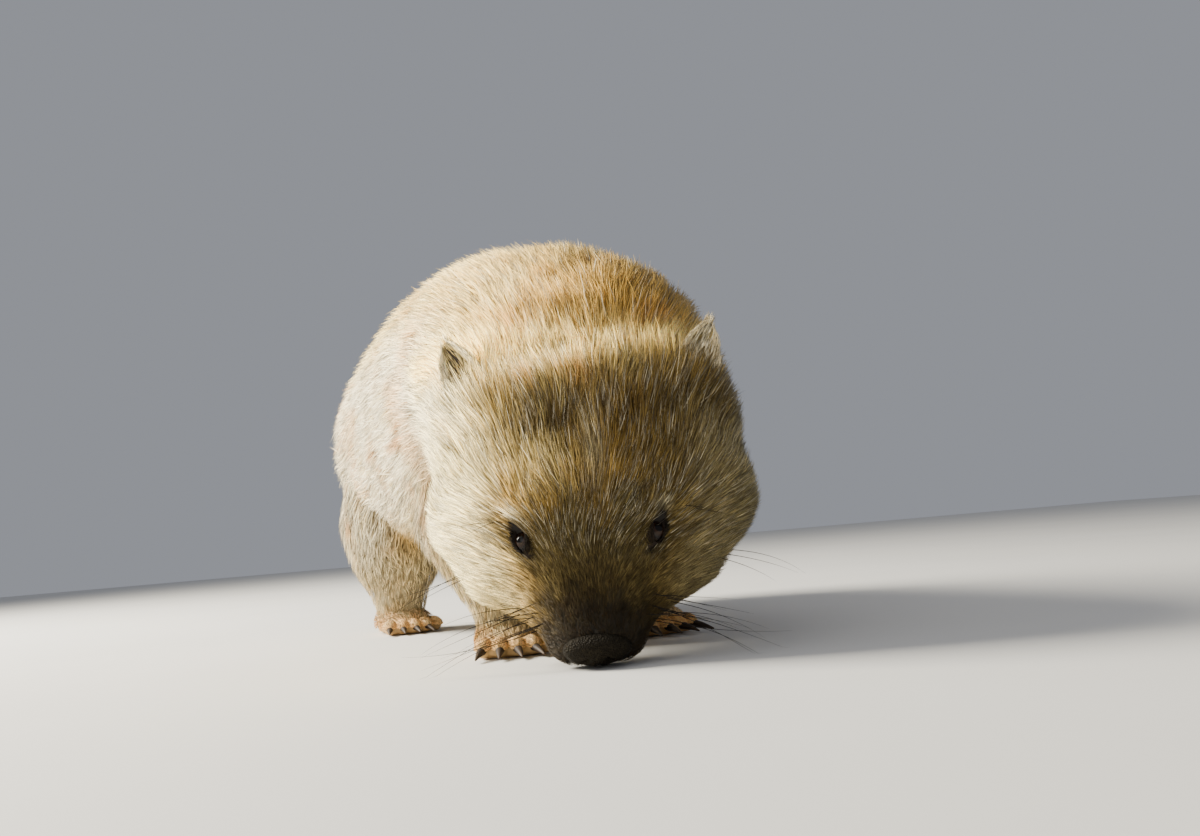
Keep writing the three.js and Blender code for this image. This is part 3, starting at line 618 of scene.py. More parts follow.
rump_steps = RUMP_CAP * np.array([0.002, 0.01, 0.03, 0.06, 0.1, 0.16, 0.24, 0.34, 0.46, 0.6, 0.8])
snout_steps = SNOUT + SNOUT_CAP * np.array([0.3, 0.5, 0.68, 0.82, 0.92, 0.98, 0.997])
distances = np.concatenate([rump_steps, np.linspace(RUMP_CAP, SNOUT, 150), snout_steps])[:, None]
ring, coarse = round_turn(96), round_turn(48)
forms = [closed(body_point(distances, ring, skin_lift(distances, ring)))]
for place in STANCES:
    top = LEG_RINGS[STANCES[place][0]][0, 0] - 20
    forms.append(closed(leg_point(place, steps(top, 14, 40), coarse, LEG_SKIN)))
    forms.append(closed(foot_point(place, steps(0, 1, 16), coarse, FOOT_SKIN)))
    forms += [ball(TOE + TOE_SKIN, matrix) for matrix in toe_matrices(place)]
tail_root = body_point(2, 0, 0)
run, turn = steps(0, 1, 12), round_turn(24)
thick = TAIL_THICK * (1 - 0.55 * run**2)
tail_y = tail_root[1] - TAIL_SUNK + TAIL_LENGTH * run
tail_z = TAIL_HEIGHT - TAIL_FALL * run + thick * np.sin(turn)
forms.append(closed(vector(tail_root[0] + thick * np.cos(turn), tail_y, tail_z)))
rough = mesh_piece("skin_forms", joined(forms), 0.3)
remesh = rough.modifiers.new("fuse", "REMESH")
remesh.mode = "VOXEL"
remesh.voxel_size = VOXEL
rough.modifiers.new("soften", "SMOOTH").iterations = 4
fused = bpy.data.meshes.new_from_object(rough.evaluated_get(bpy.context.evaluated_depsgraph_get()))
bpy.data.objects.remove(rough)
fused.name = "skin"
skin = bpy.data.objects.new("skin", fused)
bpy.context.scene.collection.objects.link(skin)
fused.polygons.foreach_set("use_smooth", np.ones(len(fused.polygons), bool))
hide_points = np.zeros(len(fused.vertices) * 3, np.float32)
fused.vertices.foreach_get("co", hide_points)
hide_points = hide_points.reshape(-1, 3) * 1000.0 - SHIFT
for side in (1, -1):
    dip = LID_DIP * (1 - ramp(eye_reach(hide_points, side), 1.05, 1.4))
    hide_points -= eye_frame(side)[1] * dip[:, None]
fused.vertices.foreach_set("co", ((hide_points + SHIFT) / 1000.0).astype(np.float32).ravel())
paint(skin, "coat", blend(markings(hide_points), DARK, 1 - ramp(from_eyes(hide_points), 1.6, 2.6)))
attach(skin, "root")
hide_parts("torso", "neck", "head", "jaw", "tail")
for place in STANCES:
    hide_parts(f"leg_{place}_upper", f"leg_{place}_lower", f"foot_{place}")
hide = Finish("hide")
grain = hide.noise(260, detail=4)
# The hide takes the coat's colours, darkened: dark underfur and painted shade under the hair.
hide_colour = hide.shade(hide.attribute("coat", "Color"), 0.42 + 0.3 * grain)
hide.finish(skin, height=grain, strength=0.4, Base_Color=hide_colour, Roughness=0.75 + 0.2 * grain)


# Eyes
# Small, dark brown eyes with a wet, clear front, each in lids of bare dark skin that part in an
# almond slit along the head.
EYE_SLIT = (10.0, 4.3)
LID_REACH = (13.0, 7.5)
LID_COLUMNS = 72
LID_ROWS = 18
eyes, lid_pieces, lid_surface = [], [], {}
for side, name in ((1, "left"), (-1, "right")):
    spot, outward, ahead = eye_frame(side)
    across = np.cross(outward, ahead)
    stand = np.eye(4)
    stand[:3, :3] = np.stack([ahead, across, outward], 1)
    stand[:3, 3] = spot - outward * EYE_DEPTH
    points, faces = ball(EYE_RADIUS, stand, 32, 40)
    polar_angle = np.arccos(np.clip((points - stand[:3, 3]) / EYE_RADIUS @ outward, -1, 1))
    points = points + outward * (0.7 * bell(polar_angle, 0, 0.5))[:, None]
    eye = mesh_piece("eye_ball_" + name, (points, faces))
    mark(eye, "polar", polar_angle)
    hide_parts("eye_" + name)
    eyes.append(eye)

    turn = round_turn(LID_COLUMNS)
    rim_along = EYE_SLIT[0] * np.cos(turn)
    rim_across = EYE_SLIT[1] * np.sin(turn) * (1 - 0.3 * np.cos(turn) ** 2)
    rest = (EYE_RADIUS + 0.35) ** 2 - rim_along**2 - rim_across**2
    rim_height = np.sqrt(np.maximum(rest, 22)) - EYE_DEPTH
    rim = spot + ahead * rim_along[:, None] + across * rim_across[:, None] + outward * rim_height[:, None]
    at = EYE_AT + LID_REACH[0] * np.cos(turn)
    angle = side * EYE_ANGLE + LID_REACH[1] * np.sin(turn) / 50
    outer = body_point(at, angle, skin_lift(at, angle) - 0.8)
    rows = steps(0, 1, LID_ROWS)[..., None]
    crease = 1.1 * np.sin(np.pi * np.clip(rows / 0.4, 0, 1)) ** 2 + 0.8 * np.sin(np.pi * rows) ** 2
    lid_surface[side] = rim + (outer - rim) * ramp(rows, 0, 1) + outward * crease
    inner = rim + outward * -2.2 + (spot - rim) * 0.03
    rings = np.concatenate([inner[None], lid_surface[side], (outer - outward * 3)[None]])
    a, b = around(len(rings) - 1, LID_COLUMNS)
    faces = np.stack([a, b, b + LID_COLUMNS, a + LID_COLUMNS], 1)
    corners = rings.reshape(-1, 3)[faces]
    facing = np.cross(corners[:, 1] - corners[:, 0], corners[:, 3] - corners[:, 0]).sum(0) @ outward
    lids = mesh_piece("lids_" + name, (rings.reshape(-1, 3), faces if facing > 0 else faces[:, ::-1]))
    lid_pieces.append(lids)
eye_finish = Finish("eye")
iris = eye_finish.node(
    "ShaderNodeValToRGB",
    stops=[(0.0, (0.002, 0.0015, 0.001)), (0.34, (0.003, 0.002, 0.0015)), (0.4, (0.024, 0.011, 0.005)),
           (0.62, (0.016, 0.007, 0.004)), (0.75, (0.005, 0.003, 0.003))],
    Fac=eye_finish.attribute("polar") + 0.05 * eye_finish.noise(900),
)
eye_finish.finish(
    *eyes, Base_Color=iris, Roughness=0.2, Specular_IOR_Level=0.12, Coat_Weight=0.22, Coat_Roughness=0.03)
lid_finish = Finish("lid_skin")
fold = lid_finish.noise(700, detail=5)
lid_finish.finish(
    *lid_pieces, height=fold, strength=0.5, distance=0.0006, Roughness=0.5 + 0.3 * fold,
    Base_Color=lid_finish.mix((0.008, 0.006, 0.005), (0.03, 0.021, 0.016), fold), Specular_IOR_Level=0.12)


# Nose and mouth
# A broad, bare, cobbled pad with two comma-shaped nostrils and a groove below them, over lips of
# dark skin that meet in the line of the mouth.
NOSE_HALF = (25, 16.5, 11)
NOSE_UP = 13
NOSE_FORTH = 3.5
NOSE_ROUNDNESS = 2.3
NOSTRIL = (11.0, 2.5)
nose_centre, nose_ahead, nose_up, nose_left = body_frame(SNOUT_END - 10)
nose_centre = nose_centre + nose_up * NOSE_UP + nose_ahead * NOSE_FORTH
rows, turn = steps(0, np.pi, 74)[1:-1], round_turn(120)
pad_x = NOSE_HALF[0] * np.sin(rows) * squared(np.cos(turn), NOSE_ROUNDNESS)
pad_y = NOSE_HALF[1] * np.sin(rows) * squared(np.sin(turn), NOSE_ROUNDNESS)
pad_z = NOSE_HALF[2] * np.cos(rows) + 0 * turn
pad_x = pad_x * (1 - 0.12 * ramp(-pad_y, 0, 12))
front = ramp(pad_z, -2, 5)
pull = 1.6 * bell(pad_x, 0, 1.4) * ramp(-pad_y, -6, 4)
for side in (1, -1):
    out, up = pad_x * side - NOSTRIL[0], pad_y - NOSTRIL[1]
    along_slit = out * 0.86 - up * 0.5
    over_slit = out * 0.5 + up * 0.86 - 0.035 * along_slit**2
    hole = np.exp(-((along_slit / 5.6) ** 4) - (over_slit / 2.3) ** 2)
    wing = np.exp(-((along_slit / 7.5) ** 4) - ((over_slit - 4.2) / 2.4) ** 2)
    pull = pull + 7.5 * hole - 1.5 * wing
pad_z = pad_z + front * (0.8 * bell(pad_x, 0, 8) - pull)
pad = nose_centre + pad_x[..., None] * nose_left + pad_y[..., None] * nose_up + pad_z[..., None] * nose_ahead
nose = mesh_piece("nose_pad", closed(pad), 0.3)
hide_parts("nose")
leather = Finish("nose_leather")
cobble = leather.node("ShaderNodeTexVoronoi", Vector=leather.place, Scale=720)
leather_grain = leather.noise(260)
leather.finish(
    nose, height=cobble, strength=0.9, distance=0.0014, Roughness=0.5 + 0.3 * leather_grain,
    Base_Color=leather.mix((0.007, 0.0055, 0.0035), (0.03, 0.0245, 0.015), leather_grain * cobble),
    Specular_IOR_Level=0.07)

MOUTH_END = MUZZLE - 3
MOUTH_POINTS = 61


def mouth_line(level, lift):
    """The curve on the muzzle at the height of the mouth, from corner to corner round the front."""
    run = np.linspace(-1, 1, MOUTH_POINTS)
    distance = SNOUT_END - 2.5 - (SNOUT_END - MOUTH_END) * np.abs(run) ** 1.6
    middle, _, upward, _ = body_frame(distance)
    height = -5 - 7 * (SNOUT_END - distance) / (SNOUT_END - MOUTH_END) + level
    angle = np.full(MOUTH_POINTS, np.pi / 2)
    for _ in range(30):
        over = np.einsum("ij,ij->i", body_point(distance, angle, lift) - middle, upward) - height
        angle = angle + over * 0.012
    points = body_point(distance, np.where(run < 0, -angle, angle), lift)
    front = MOUTH_POINTS // 2
    tip = body_point(SNOUT_END - 0.5, 0, lift) + upward[front] * height[front]
    return blend(points, tip, bell(run, 0, 0.1)), run


def swept(path, radius, columns=16, flat=1.0):
    """A tube of changing radius along a path, in rings square to it, upright where the path is level."""
    direction = unit(np.gradient(path, axis=0))
    side = unit(np.cross(direction, np.array([0.0, 0.0, 1.0]) + 1e-4))
    above = np.cross(side, direction)
    turn = round_turn(columns)[:, None]
    spokes = side[:, None] * np.cos(turn) + above[:, None] * (flat * np.sin(turn))
    return path[:, None] + spokes * radius[:, None, None]


lips = []
for level, size in ((2.6, 2.7), (-2.4, 2.3)):
    path, run = mouth_line(level, -1.1)
    lips.append(closed(swept(path, size * (1 - 0.8 * np.abs(run) ** 2.5))))
mouth = mesh_piece("lips", joined(lips), 0.3)
lip_skin = Finish("lip_skin")
wrinkle = lip_skin.noise(500, detail=4)
lip_skin.finish(
    mouth, height=wrinkle, strength=0.4, distance=0.0006, Roughness=0.55 + 0.3 * wrinkle,
    Base_Color=lip_skin.mix((0.01, 0.007, 0.006), (0.035, 0.024, 0.02), wrinkle), Specular_IOR_Level=0.15)


# Ears
# Small, upright leaves rolled into a forward cup: bare, dusky skin inside, haired outside and
# along the rim. The left one is paler inside, as painted sunlight; the right one's darker cup is
# painted shade.
EAR_AT = CROWN - 13
EAR_ANGLE = np.radians(44)
EAR_LENGTH = 62
EAR_ROOT = -14
EAR_WIDTH = 18.5
EAR_DEPTH = 10


def ear_frame(side):
    """Root of the ear, the way it rises, the way its cup faces, and the way across it."""
    _, ahead, upward, leftward = body_frame(EAR_AT)
    root = body_point(EAR_AT, side * EAR_ANGLE, 0)
    rise = unit(-0.7 * ahead + side * 0.42 * leftward + 0.6 * upward)
    facing = 0.8 * upward + 0.3 * ahead + side * 0.4 * leftward
    facing = unit(facing - rise * (facing @ rise))
    return root, rise, facing, unit(np.cross(facing, rise))


def ear_point(side, share, angle, lift):
    """A crescent in each cross-section: round behind, hollow in front, tapering to the point of the ear."""
    root, rise, facing, across = ear_frame(side)
    share, angle, lift = np.broadcast_arrays(np.asarray(share, float), angle, lift)
    taper = np.clip(share, 0, 0.9995)
    swell = (1 - taper**2.4) ** 0.8 * (0.86 + 0.4 * taper)
    out = (EAR_WIDTH * swell + lift) * np.cos(angle)
    deep = EAR_DEPTH * swell * (1 - 0.35 * taper)
    turned = np.abs(np.sin(angle))
    front = -deep * turned**0.9 + 2.6 * turned**0.4 * (0.35 + 0.65 * swell) + lift
    forth = np.where(np.sin(angle) < 0, -(deep + lift) * turned, front) - 7 * share**2
    forth = forth + 3.5 * np.cos(angle) ** 2 * swell
    up = EAR_ROOT + (EAR_LENGTH - EAR_ROOT) * share
    return root + rise * up[..., None] + facing * forth[..., None] + across * out[..., None]


share = np.concatenate([np.linspace(0, 0.9, 40), [0.93, 0.955, 0.975, 0.99, 0.998]])[:, None]
turn = round_turn(72)
ears = []
# The left ear's cup shows less dusky skin and more of the coat's colour: painted sunlight.
for side, name, bare in ((1, "left", 0.3), (-1, "right", 1)):
    leaf = closed(ear_point(side, share, turn, 0.0))
    ear = mesh_piece("ear_leaf_" + name, leaf)
    paint(ear, "coat", markings(leaf[0]))
    mark(ear, "inner", bare * np.concatenate([np.tile(ramp(np.sin(turn), 0.3, 0.8), len(share)), [1, 0]]))
    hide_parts("ear_" + name)
    ears.append(ear)
ear_skin = Finish("ear_skin")
veins = ear_skin.noise(160, detail=5)
dusky = ear_skin.mix((0.03, 0.02, 0.014), (0.09, 0.06, 0.036), veins)
haired = ear_skin.shade(ear_skin.attribute("coat", "Color"), 0.5)
ear_skin.finish(
    *ears, height=veins, distance=0.0006, Roughness=0.5 + 0.25 * veins,
    Base_Color=ear_skin.mix(haired, dusky, ear_skin.attribute("inner")))


# Claws
# Long, blunt digging claws of dark horn, five on a front foot and four on a hind one, whose
# innermost toe has none.
CLAW_RADIUS = 4.1
CLAW_POINTS = 20
CLAW_COLUMNS = 14
claw_pieces = []
run = np.linspace(0, 1, CLAW_POINTS)
for place in STANCES:
    kind, side = STANCES[place][:2]
    length = FEET[kind][4]
    toes = [toe for toe in range(5) if kind == "front" or toe != (0 if side > 0 else 4)]
    claws = []
    for toe in toes:
        reach = TOE[1] * 0.4 + (length + TOE[1] * 0.15) * run
        height = TOE[2] * 0.35 * (1 - run**2) + 4.4 - 1.2 * run - TOE[2] * 0.72
        path = placed(toe_matrices(place)[toe], vector(0 * run, -reach, height))
        claws.append(closed(swept(path, CLAW_RADIUS * (1 - 0.84 * run**1.5), CLAW_COLUMNS, flat=0.92)))
    claw = mesh_piece("claws_" + place, joined(claws), 0.4)
    mark(claw, "along", np.tile(np.concatenate([np.repeat(run, CLAW_COLUMNS), [0, 1]]), len(toes)))
    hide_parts(*[f"claw_{place}_{toe + 1}" for toe in toes])
    claw_pieces.append(claw)
horn = Finish("horn")
growth = horn.noise(420, detail=4)
worn = horn.attribute("along") ** 2 * 0.7 + 0.25 * growth
horn.finish(
    *claw_pieces, height=growth, distance=0.0005, Roughness=0.42 + 0.3 * growth,
    Base_Color=horn.mix((0.014, 0.01, 0.008), (0.085, 0.058, 0.038), worn), Specular_IOR_Level=0.25)


# Coat
# Guard hair stands in tufts out of a dense underfur and lies back from the nose to the rump and
# down the sides. Each strand is a closed three-sided blade that tapers to a point.
random = np.random.default_rng(11)
HAIR_SHARE = 1.0
BAKE_PATCH = 0.003
coat = Finish("coat_hair")
share, strand = coat.attribute("along"), coat.attribute("strand")
# Each strand is darker towards its root, for dark underfur and as painted shade inside the coat, and lighter
# towards its tip.
root_stops = [(0, (0.34, 0.3, 0.26)), (0.4, (0.82, 0.8, 0.77)), (1, (1.22, 1.22, 1.22))]
root_shade = coat.node("ShaderNodeValToRGB", stops=root_stops, Fac=share)
coat_colour = coat.tint(coat.shade(coat.attribute("coat", "Color"), 0.36 + 1.2 * strand), root_shade)
coat_colour = coat.mix(coat_colour, SABLE * 0.6, coat.attribute("tip") * share**0.8)
coat.finish(Base_Color=coat_colour, Roughness=0.42 + 0.25 * strand, Specular_IOR_Level=0.18)


def scatter(surface, skin, ranges, count, density=None, step=(0.5, 0.01)):
    """Evenly spread roots: a low-discrepancy sequence in both parameters, thinned by area and density."""
    count = int(count * HAIR_SHARE)
    tries = np.arange(1, count * 5)
    (low, high), (start, end) = ranges
    first = low + (high - low) * ((0.5 + tries * 0.7548776662466927) % 1)
    second = start + (end - start) * ((0.5 + tries * 0.5698402909980532) % 1)
    lift = skin(first, second)
    here = surface(first, second, lift)
    one = (surface(first + step[0], second, lift) - here) / step[0]
    two = (surface(first, second + step[1], lift) - here) / step[1]
    weight = np.linalg.norm(np.cross(one, two), axis=-1)
    if density:
        weight = weight * density(first, second)
    kept = random.random(len(tries)) < weight * count / weight.sum()
    return first[kept], second[kept]


def hair_paths(surface, skin, depth, first, second, length, heading, rise, middle=0.45, step=(-1.0, 0.01)):
    """Root, middle and tip of each strand: a walk over the surface along its heading, up from the skin."""
    low = skin(first, second)
    base = surface(first, second, low)
    back = (surface(first + step[0], second, low) - base) / abs(step[0])
    sideways = (surface(first, second + step[1], low) - base) / step[1]
    back_size = np.maximum(np.linalg.norm(back, axis=-1), 0.3)
    side_size = np.maximum(np.linalg.norm(sideways, axis=-1), 6)
    outward = unit(surface(first, second, low + 1) - base)
    points = []
    for share, sunk in ((0, 0.6), (middle, 0), (1, 0)):
        at = first + np.sign(step[0]) * length * share * np.cos(heading) / back_size
        angle = second + length * share * np.sin(heading) / side_size
        low = skin(at, angle)
        climb = (1 - (1 - share) ** 1.7) * rise
        points.append(surface(at, angle, low + (depth(at, angle) - low) * climb - sunk))
    return np.stack(points, 1), outward


def clumped(paths, roots, size, pull):
    """Strands lean to the middle of their tuft: those whose roots share a bent cell draw together."""
    bend = np.stack([cloud(roots, 2.2 * size, seed) for seed in (21, 22, 23)], -1) - 0.5
    cell = np.floor((roots + 4.5 * size * bend) / size).astype(np.int64)
    _, tuft = np.unique(cell, axis=0, return_inverse=True)
    tuft = tuft.ravel()
    members = np.bincount(tuft)[:, None]
    for k in (1, 2):
        middle = np.stack([np.bincount(tuft, paths[:, k, axis]) for axis in range(3)], -1) / members
        paths[:, k] += (middle[tuft] - paths[:, k]) * (pull * k / 2)[:, None]
    return paths


def over_floor(paths, gap):
    """True where a strand stays above the gap over the floor."""
    return paths[:, :, 2].min(1) + SHIFT[2] > gap


def hair_piece(name, paths, outward, width, colour, dark_tips, first, second, slot="fur"):
    """Blades with a point at the root, three corners half way and a point at the tip, and their bake map."""
    root, middle, tip = np.moveaxis(paths, 1, 0)
    direction = unit(tip - root)
    across = unit(np.cross(outward, direction))
    ridge = np.cross(direction, across)
    half = 0.5 * width[:, None]
    corners = [root, middle + across * half, middle - across * half, middle + ridge * half * 0.8, tip]
    shares, sides = [0, 0.5, 0.5, 0.5, 1], [0.5, 0, 1, 0.5, 0.5]
    blade = np.array([[0, 2, 1], [0, 3, 2], [0, 1, 3], [1, 2, 4], [2, 3, 4], [3, 1, 4]])
    count = len(paths)
    points = np.stack(corners, 1).reshape(-1, 3)
    faces = facing_out(points, (blade + 5 * np.arange(count)[:, None, None]).reshape(-1, 3))
    piece = mesh_piece(name, (points, faces))
    paint(piece, "coat", np.repeat(colour, 5, 0))
    mark(piece, "along", np.tile(shares, count))
    mark(piece, "strand", np.repeat(random.random(count), 5))
    mark(piece, "tip", np.repeat(dark_tips, 5))
    unwrap = np.stack([first, second], -1)
    low, high = unwrap.min(0), unwrap.max(0)
    spot = np.repeat((unwrap - low) / (high - low) * (1 - BAKE_PATCH), 5, 0)
    spot = spot + BAKE_PATCH * np.stack([np.tile(sides, count), np.tile(shares, count)], -1)
    layer = piece.data.uv_layers.new(name="OFBake")
    layer.uv.foreach_set("vector", spot[faces.ravel()].astype(np.float32).ravel())
    piece.data.materials.append(coat.material)


def near_ears(points):
    """Distance in mm from the foot of the nearer ear, and whether a root is clear of the feet of both."""
    away, clear = np.inf, True
    for side in (1, -1):
        root, _, facing, across = ear_frame(side)
        offset = points - root
        away = np.minimum(away, np.linalg.norm(offset, axis=-1))
        clear = clear & ((offset @ across / 17) ** 2 + (offset @ facing / 9) ** 2 > 1)
    return away, clear


# name, from, to, strands, pieces, width, denser on the face, thinner on the belly, tuft, drift
for name, start, end, count, pieces, width, on_face, on_belly, tuft, drift in (
    ("coat_head", NAPE + 6, SNOUT_END - 3, 86000, 3, 0.7, 0.8, 0.5, 4.5, 0.25),
    ("coat_neck", COLLAR - 60, NAPE + 10, 35000, 2, 0.84, 0, 0.5, 6.5, 0.3),
    ("coat_torso", 2, COLLAR - 54, 73500, 3, 1.05, 0, 0.45, 10.0, 0.35),
):
    distance, angle = scatter(
        body_point, skin_lift, ((start, end), (-np.pi, np.pi)), count,
        lambda s, a: 1 + on_face * ramp(s, CROWN, EYES) - on_belly * ramp(np.abs(a), 2.2, 3.0))
    here = body_point(distance, angle, skin_lift(distance, angle))
    number = len(here)
    stray = random.random(number) < 0.05
    wander = (cloud(here, 15, 7) - 0.5) * 0.9 + random.normal(0, 0.16, number)
    heading = drift * np.sin(angle) + wander + 0.35 * stray * random.normal(0, 1, number)
    length = along(distance, HAIR) * (0.7 + 0.5 * random.random(number)) * (1 + 0.35 * stray)
    from_ear, clear_of_ears = near_ears(here)
    beside_ear = bell(from_ear, 0, 26)
    length = np.minimum(length, (distance + 6) * 0.9) * (1 + 0.35 * beside_ear)
    length = length * np.clip(0.4 + 0.7 * (from_eyes(here) - 1), 0.25, 1)
    rise = (0.72 + 0.5 * random.random(number) ** 1.5) * (0.82 + 0.36 * cloud(here, 22, 9)) + 0.2 * stray
    rise = np.minimum(rise + 0.45 * beside_ear + 0.12 * ruff_depth(distance, angle) / RUFF_DEPTH, 1.5)
    paths, outward = hair_paths(body_point, skin_lift, coat_depth, distance, angle, length, heading, rise)
    paths = clumped(paths, here, tuft, 0.1 + 0.4 * random.random(number))
    kept = over_floor(paths, 0.5) & (from_eyes(paths).min(1) > 1) & clear_of_ears
    paths, outward, distance, angle, stray = (a[kept] for a in (paths, outward, distance, angle, stray))
    height = here[kept, 2]
    number = len(height)
    guard = 0.08 + 0.2 * ramp(distance, COLLAR - 20, NAPE) + 0.16 * ramp(distance, CROWN - 20, CHEEKS)
    guard = guard + 0.2 * ramp(height, 260, 320)
    guard = guard * (1 - 0.7 * bell(height, 240, 20) * ramp(distance, COLLAR, NAPE))
    dark = (random.random(number) < guard) * (0.5 + 0.5 * random.random(number))
    silver = random.random(number) < 0.08 + 0.14 * ramp(distance, NAPE, CROWN)
    silver = silver * (1 - ramp(distance, EYES, MUZZLE)) * (0.35 + 0.25 * random.random(number))
    colour = blend(markings(0.5 * (paths[:, 1] + paths[:, 2])), CREAM, silver)
    size = width * (0.65 + 0.6 * random.random(number)) * (1 - 0.35 * stray)
    size = size * along(distance, HAIR) ** 0.5 / 5
    for order, part in enumerate(np.array_split(np.argsort(-distance), pieces), 1):
        columns = (a[part] for a in (paths, outward, size, colour, dark, distance, angle))
        hair_piece(f"{name}_{order}", *columns)

distance, angle = scatter(body_point, skin_lift, ((0.5, 52), (-np.pi, np.pi)), 3600)
root = body_point(distance, angle, skin_lift(distance, angle))
outward = unit(body_point(distance, angle, skin_lift(distance, angle) + 1) - root)
number = len(root)
reach = (34 * (0.7 + 0.5 * random.random(number)))[:, None]
fall = unit(np.array([0, 0, -1.0]) + random.normal(0, 0.22, (number, 3)))
middle = root + reach * 0.45 * unit(0.75 * outward + 0.6 * fall)
paths = np.stack([root - outward * 0.6, middle, root + reach * unit(0.42 * outward + fall)], 1)
paths = clumped(paths, root, 9.0, 0.05 + 0.25 * random.random(number))
width = 0.8 + 0.5 * random.random(number)
dark = 0.6 * (random.random(number) < 0.12)
hair_piece("coat_rump", paths, outward, width, markings(paths[:, 1]), dark, distance, angle)

for place in STANCES:
    # top of the hair, and how deep it grows below it
    top, full = {"front": (200, 15), "hind": (232, 9)}[STANCES[place][0]]
    surface = lambda *where: leg_point(place, *where)
    level = lambda h, a: 0 * h + LEG_SKIN
    deep = lambda h, a: 4 + (2 + full * ramp(h, 20, 90)) * (1 - 0.9 * ramp(h, 95, top - 25))
    height, angle = scatter(surface, level, ((20, top), (-np.pi, np.pi)), 7500)
    here = surface(height, angle, LEG_SKIN)
    number = len(here)
    length = (15 + 19 * ramp(height, 20, 130)) * (0.7 + 0.5 * random.random(number))
    heading = (cloud(here, 15, 7) - 0.5) * 0.9 + random.normal(0, 0.2, number)
    rise = 0.65 + 0.6 * random.random(number)
    paths, outward = hair_paths(surface, level, deep, height, angle, length, heading, rise)
    paths = clumped(paths, here, 7.0, 0.1 + 0.4 * random.random(number))
    kept = over_floor(paths, 0.5)
    paths, outward, height, angle = (a[kept] for a in (paths, outward, height, angle))
    size = (0.8 + 0.5 * random.random(len(height))) * (0.75 + 0.5 * ramp(height, 20, 120))
    dark = 0.7 * (random.random(len(height)) < 0.15)
    hair_piece(f"coat_leg_{place}", paths, outward, size, markings(paths[:, 1]), dark, height, angle)


# Hair of the lids
# Fine, short, dark hair that covers the lids up to their wet edge and lies back past the slit.
for side, name in ((1, "left"), (-1, "right")):
    spot, outward, ahead = eye_frame(side)
    across = np.cross(outward, ahead)
    count = int(1500 * HAIR_SHARE)
    row = 1.2 + 15.5 * random.random(count)
    column = random.integers(0, LID_COLUMNS, count)
    low = row.astype(int)
    root = blend(lid_surface[side][low, column], lid_surface[side][low + 1, column], row - low)
    aside = np.clip((root - spot) @ across / 3, -1, 1)[:, None]
    lie = unit(-0.75 * ahead + 0.8 * aside * across + 0.3 * random.normal(0, 1, (count, 3)))
    reach = lie * ((3 + 4 * row / (LID_ROWS - 1)) * (0.7 + 0.6 * random.random(count)))[:, None]
    middle = root + reach * 0.5 + outward * 0.8
    paths = np.stack([root - outward * 0.3, middle, root + reach + outward * 1.1], 1)
    kept = from_eyes(paths[:, 1:]).min(1) > 0.8
    paths, row, column = paths[kept], row[kept], column[kept]
    colour = blend(markings(paths[:, 1]), DARK, 1 - ramp(row, 4, 14))
    width = 0.5 + 0.2 * random.random(len(row))
    dark = 0.3 * (random.random(len(row)) < 0.4)
    hair_piece("coat_lids_" + name, paths, np.tile(outward, (len(row), 1)), width, colour, dark, row, column)


# Hair of the feet
# Short, stiff hair over the top of each foot and its toes, thin enough to show the claws' roots.
def close_hair(surface, skin, depth, ranges, count, length, swirl, rise):
    """Short hair on a foot or ear: its strands, the way out of the skin, colours and both places."""
    bare, deep = (lambda first, second, lift=lift: 0 * first + lift for lift in (skin, depth))
    first, second = scatter(surface, bare, ranges, count, step=(0.01, 0.01))
    here = surface(first, second, skin)
    length = length[0] + length[1] * random.random(len(here))
    heading = swirl[0] * (cloud(here, swirl[1], 4) - 0.5)
    rise = rise[0] + rise[1] * random.random(len(here))
    paths, outward = hair_paths(
        surface, bare, deep, first, second, length, heading, rise, middle=0.5, step=(0.01, 0.01))
    return paths, outward, markings(here), first, second


def on_toe(matrix, polar, turn, lift):
    """Point of a toe's ellipsoid: polar angle from its front, turned round its length, raised by lift."""
    spot = vector(np.sin(polar) * np.sin(turn), -np.cos(polar), np.sin(polar) * np.cos(turn))
    return placed(matrix, spot * (TOE + TOE_SKIN + np.asarray(lift)[..., None]))


for place in STANCES:
    count = {"front": 2600, "hind": 1700}[STANCES[place][0]]
    paths, outward, colour, share, angle = close_hair(
        lambda *where: foot_point(place, *where), FOOT_SKIN, 2.2, ((0.02, 0.97), (-1.75, 1.75)), count,
        length=(11, 6), swirl=(0.8, 9), rise=(0.8, 0.5))
    width = 0.48 + 0.36 * random.random(len(share))
    dark = 0.5 * (random.random(len(share)) < 0.12)
    parts = [(paths, outward, width, colour, dark, share, angle)]
    count = int(380 * HAIR_SHARE)
    for toe, matrix in enumerate(toe_matrices(place)):
        run = random.random(count)
        turn = (random.random(count) - 0.5) * 2.9
        polar = 2.2 - 1.5 * run
        base = on_toe(matrix, polar, turn, -0.5)
        middle = on_toe(matrix, polar - 0.4, turn, 1.5)
        tips = on_toe(matrix, polar - 0.95, turn, 1.5 + 1.3 * random.random(count))
        parts.append((
            np.stack([base, middle, tips], 1), unit(middle - matrix[:3, 3]), np.full(count, 0.52),
            markings(base), 0.3 * (run < 0.15), 1.1 + run * 0.3 + 0.35 * toe, turn))
    columns = [np.concatenate(part) for part in zip(*parts)]
    kept = over_floor(columns[0], 0.4)
    hair_piece(f"coat_foot_{place}", *(column[kept] for column in columns), slot="dark_fur")
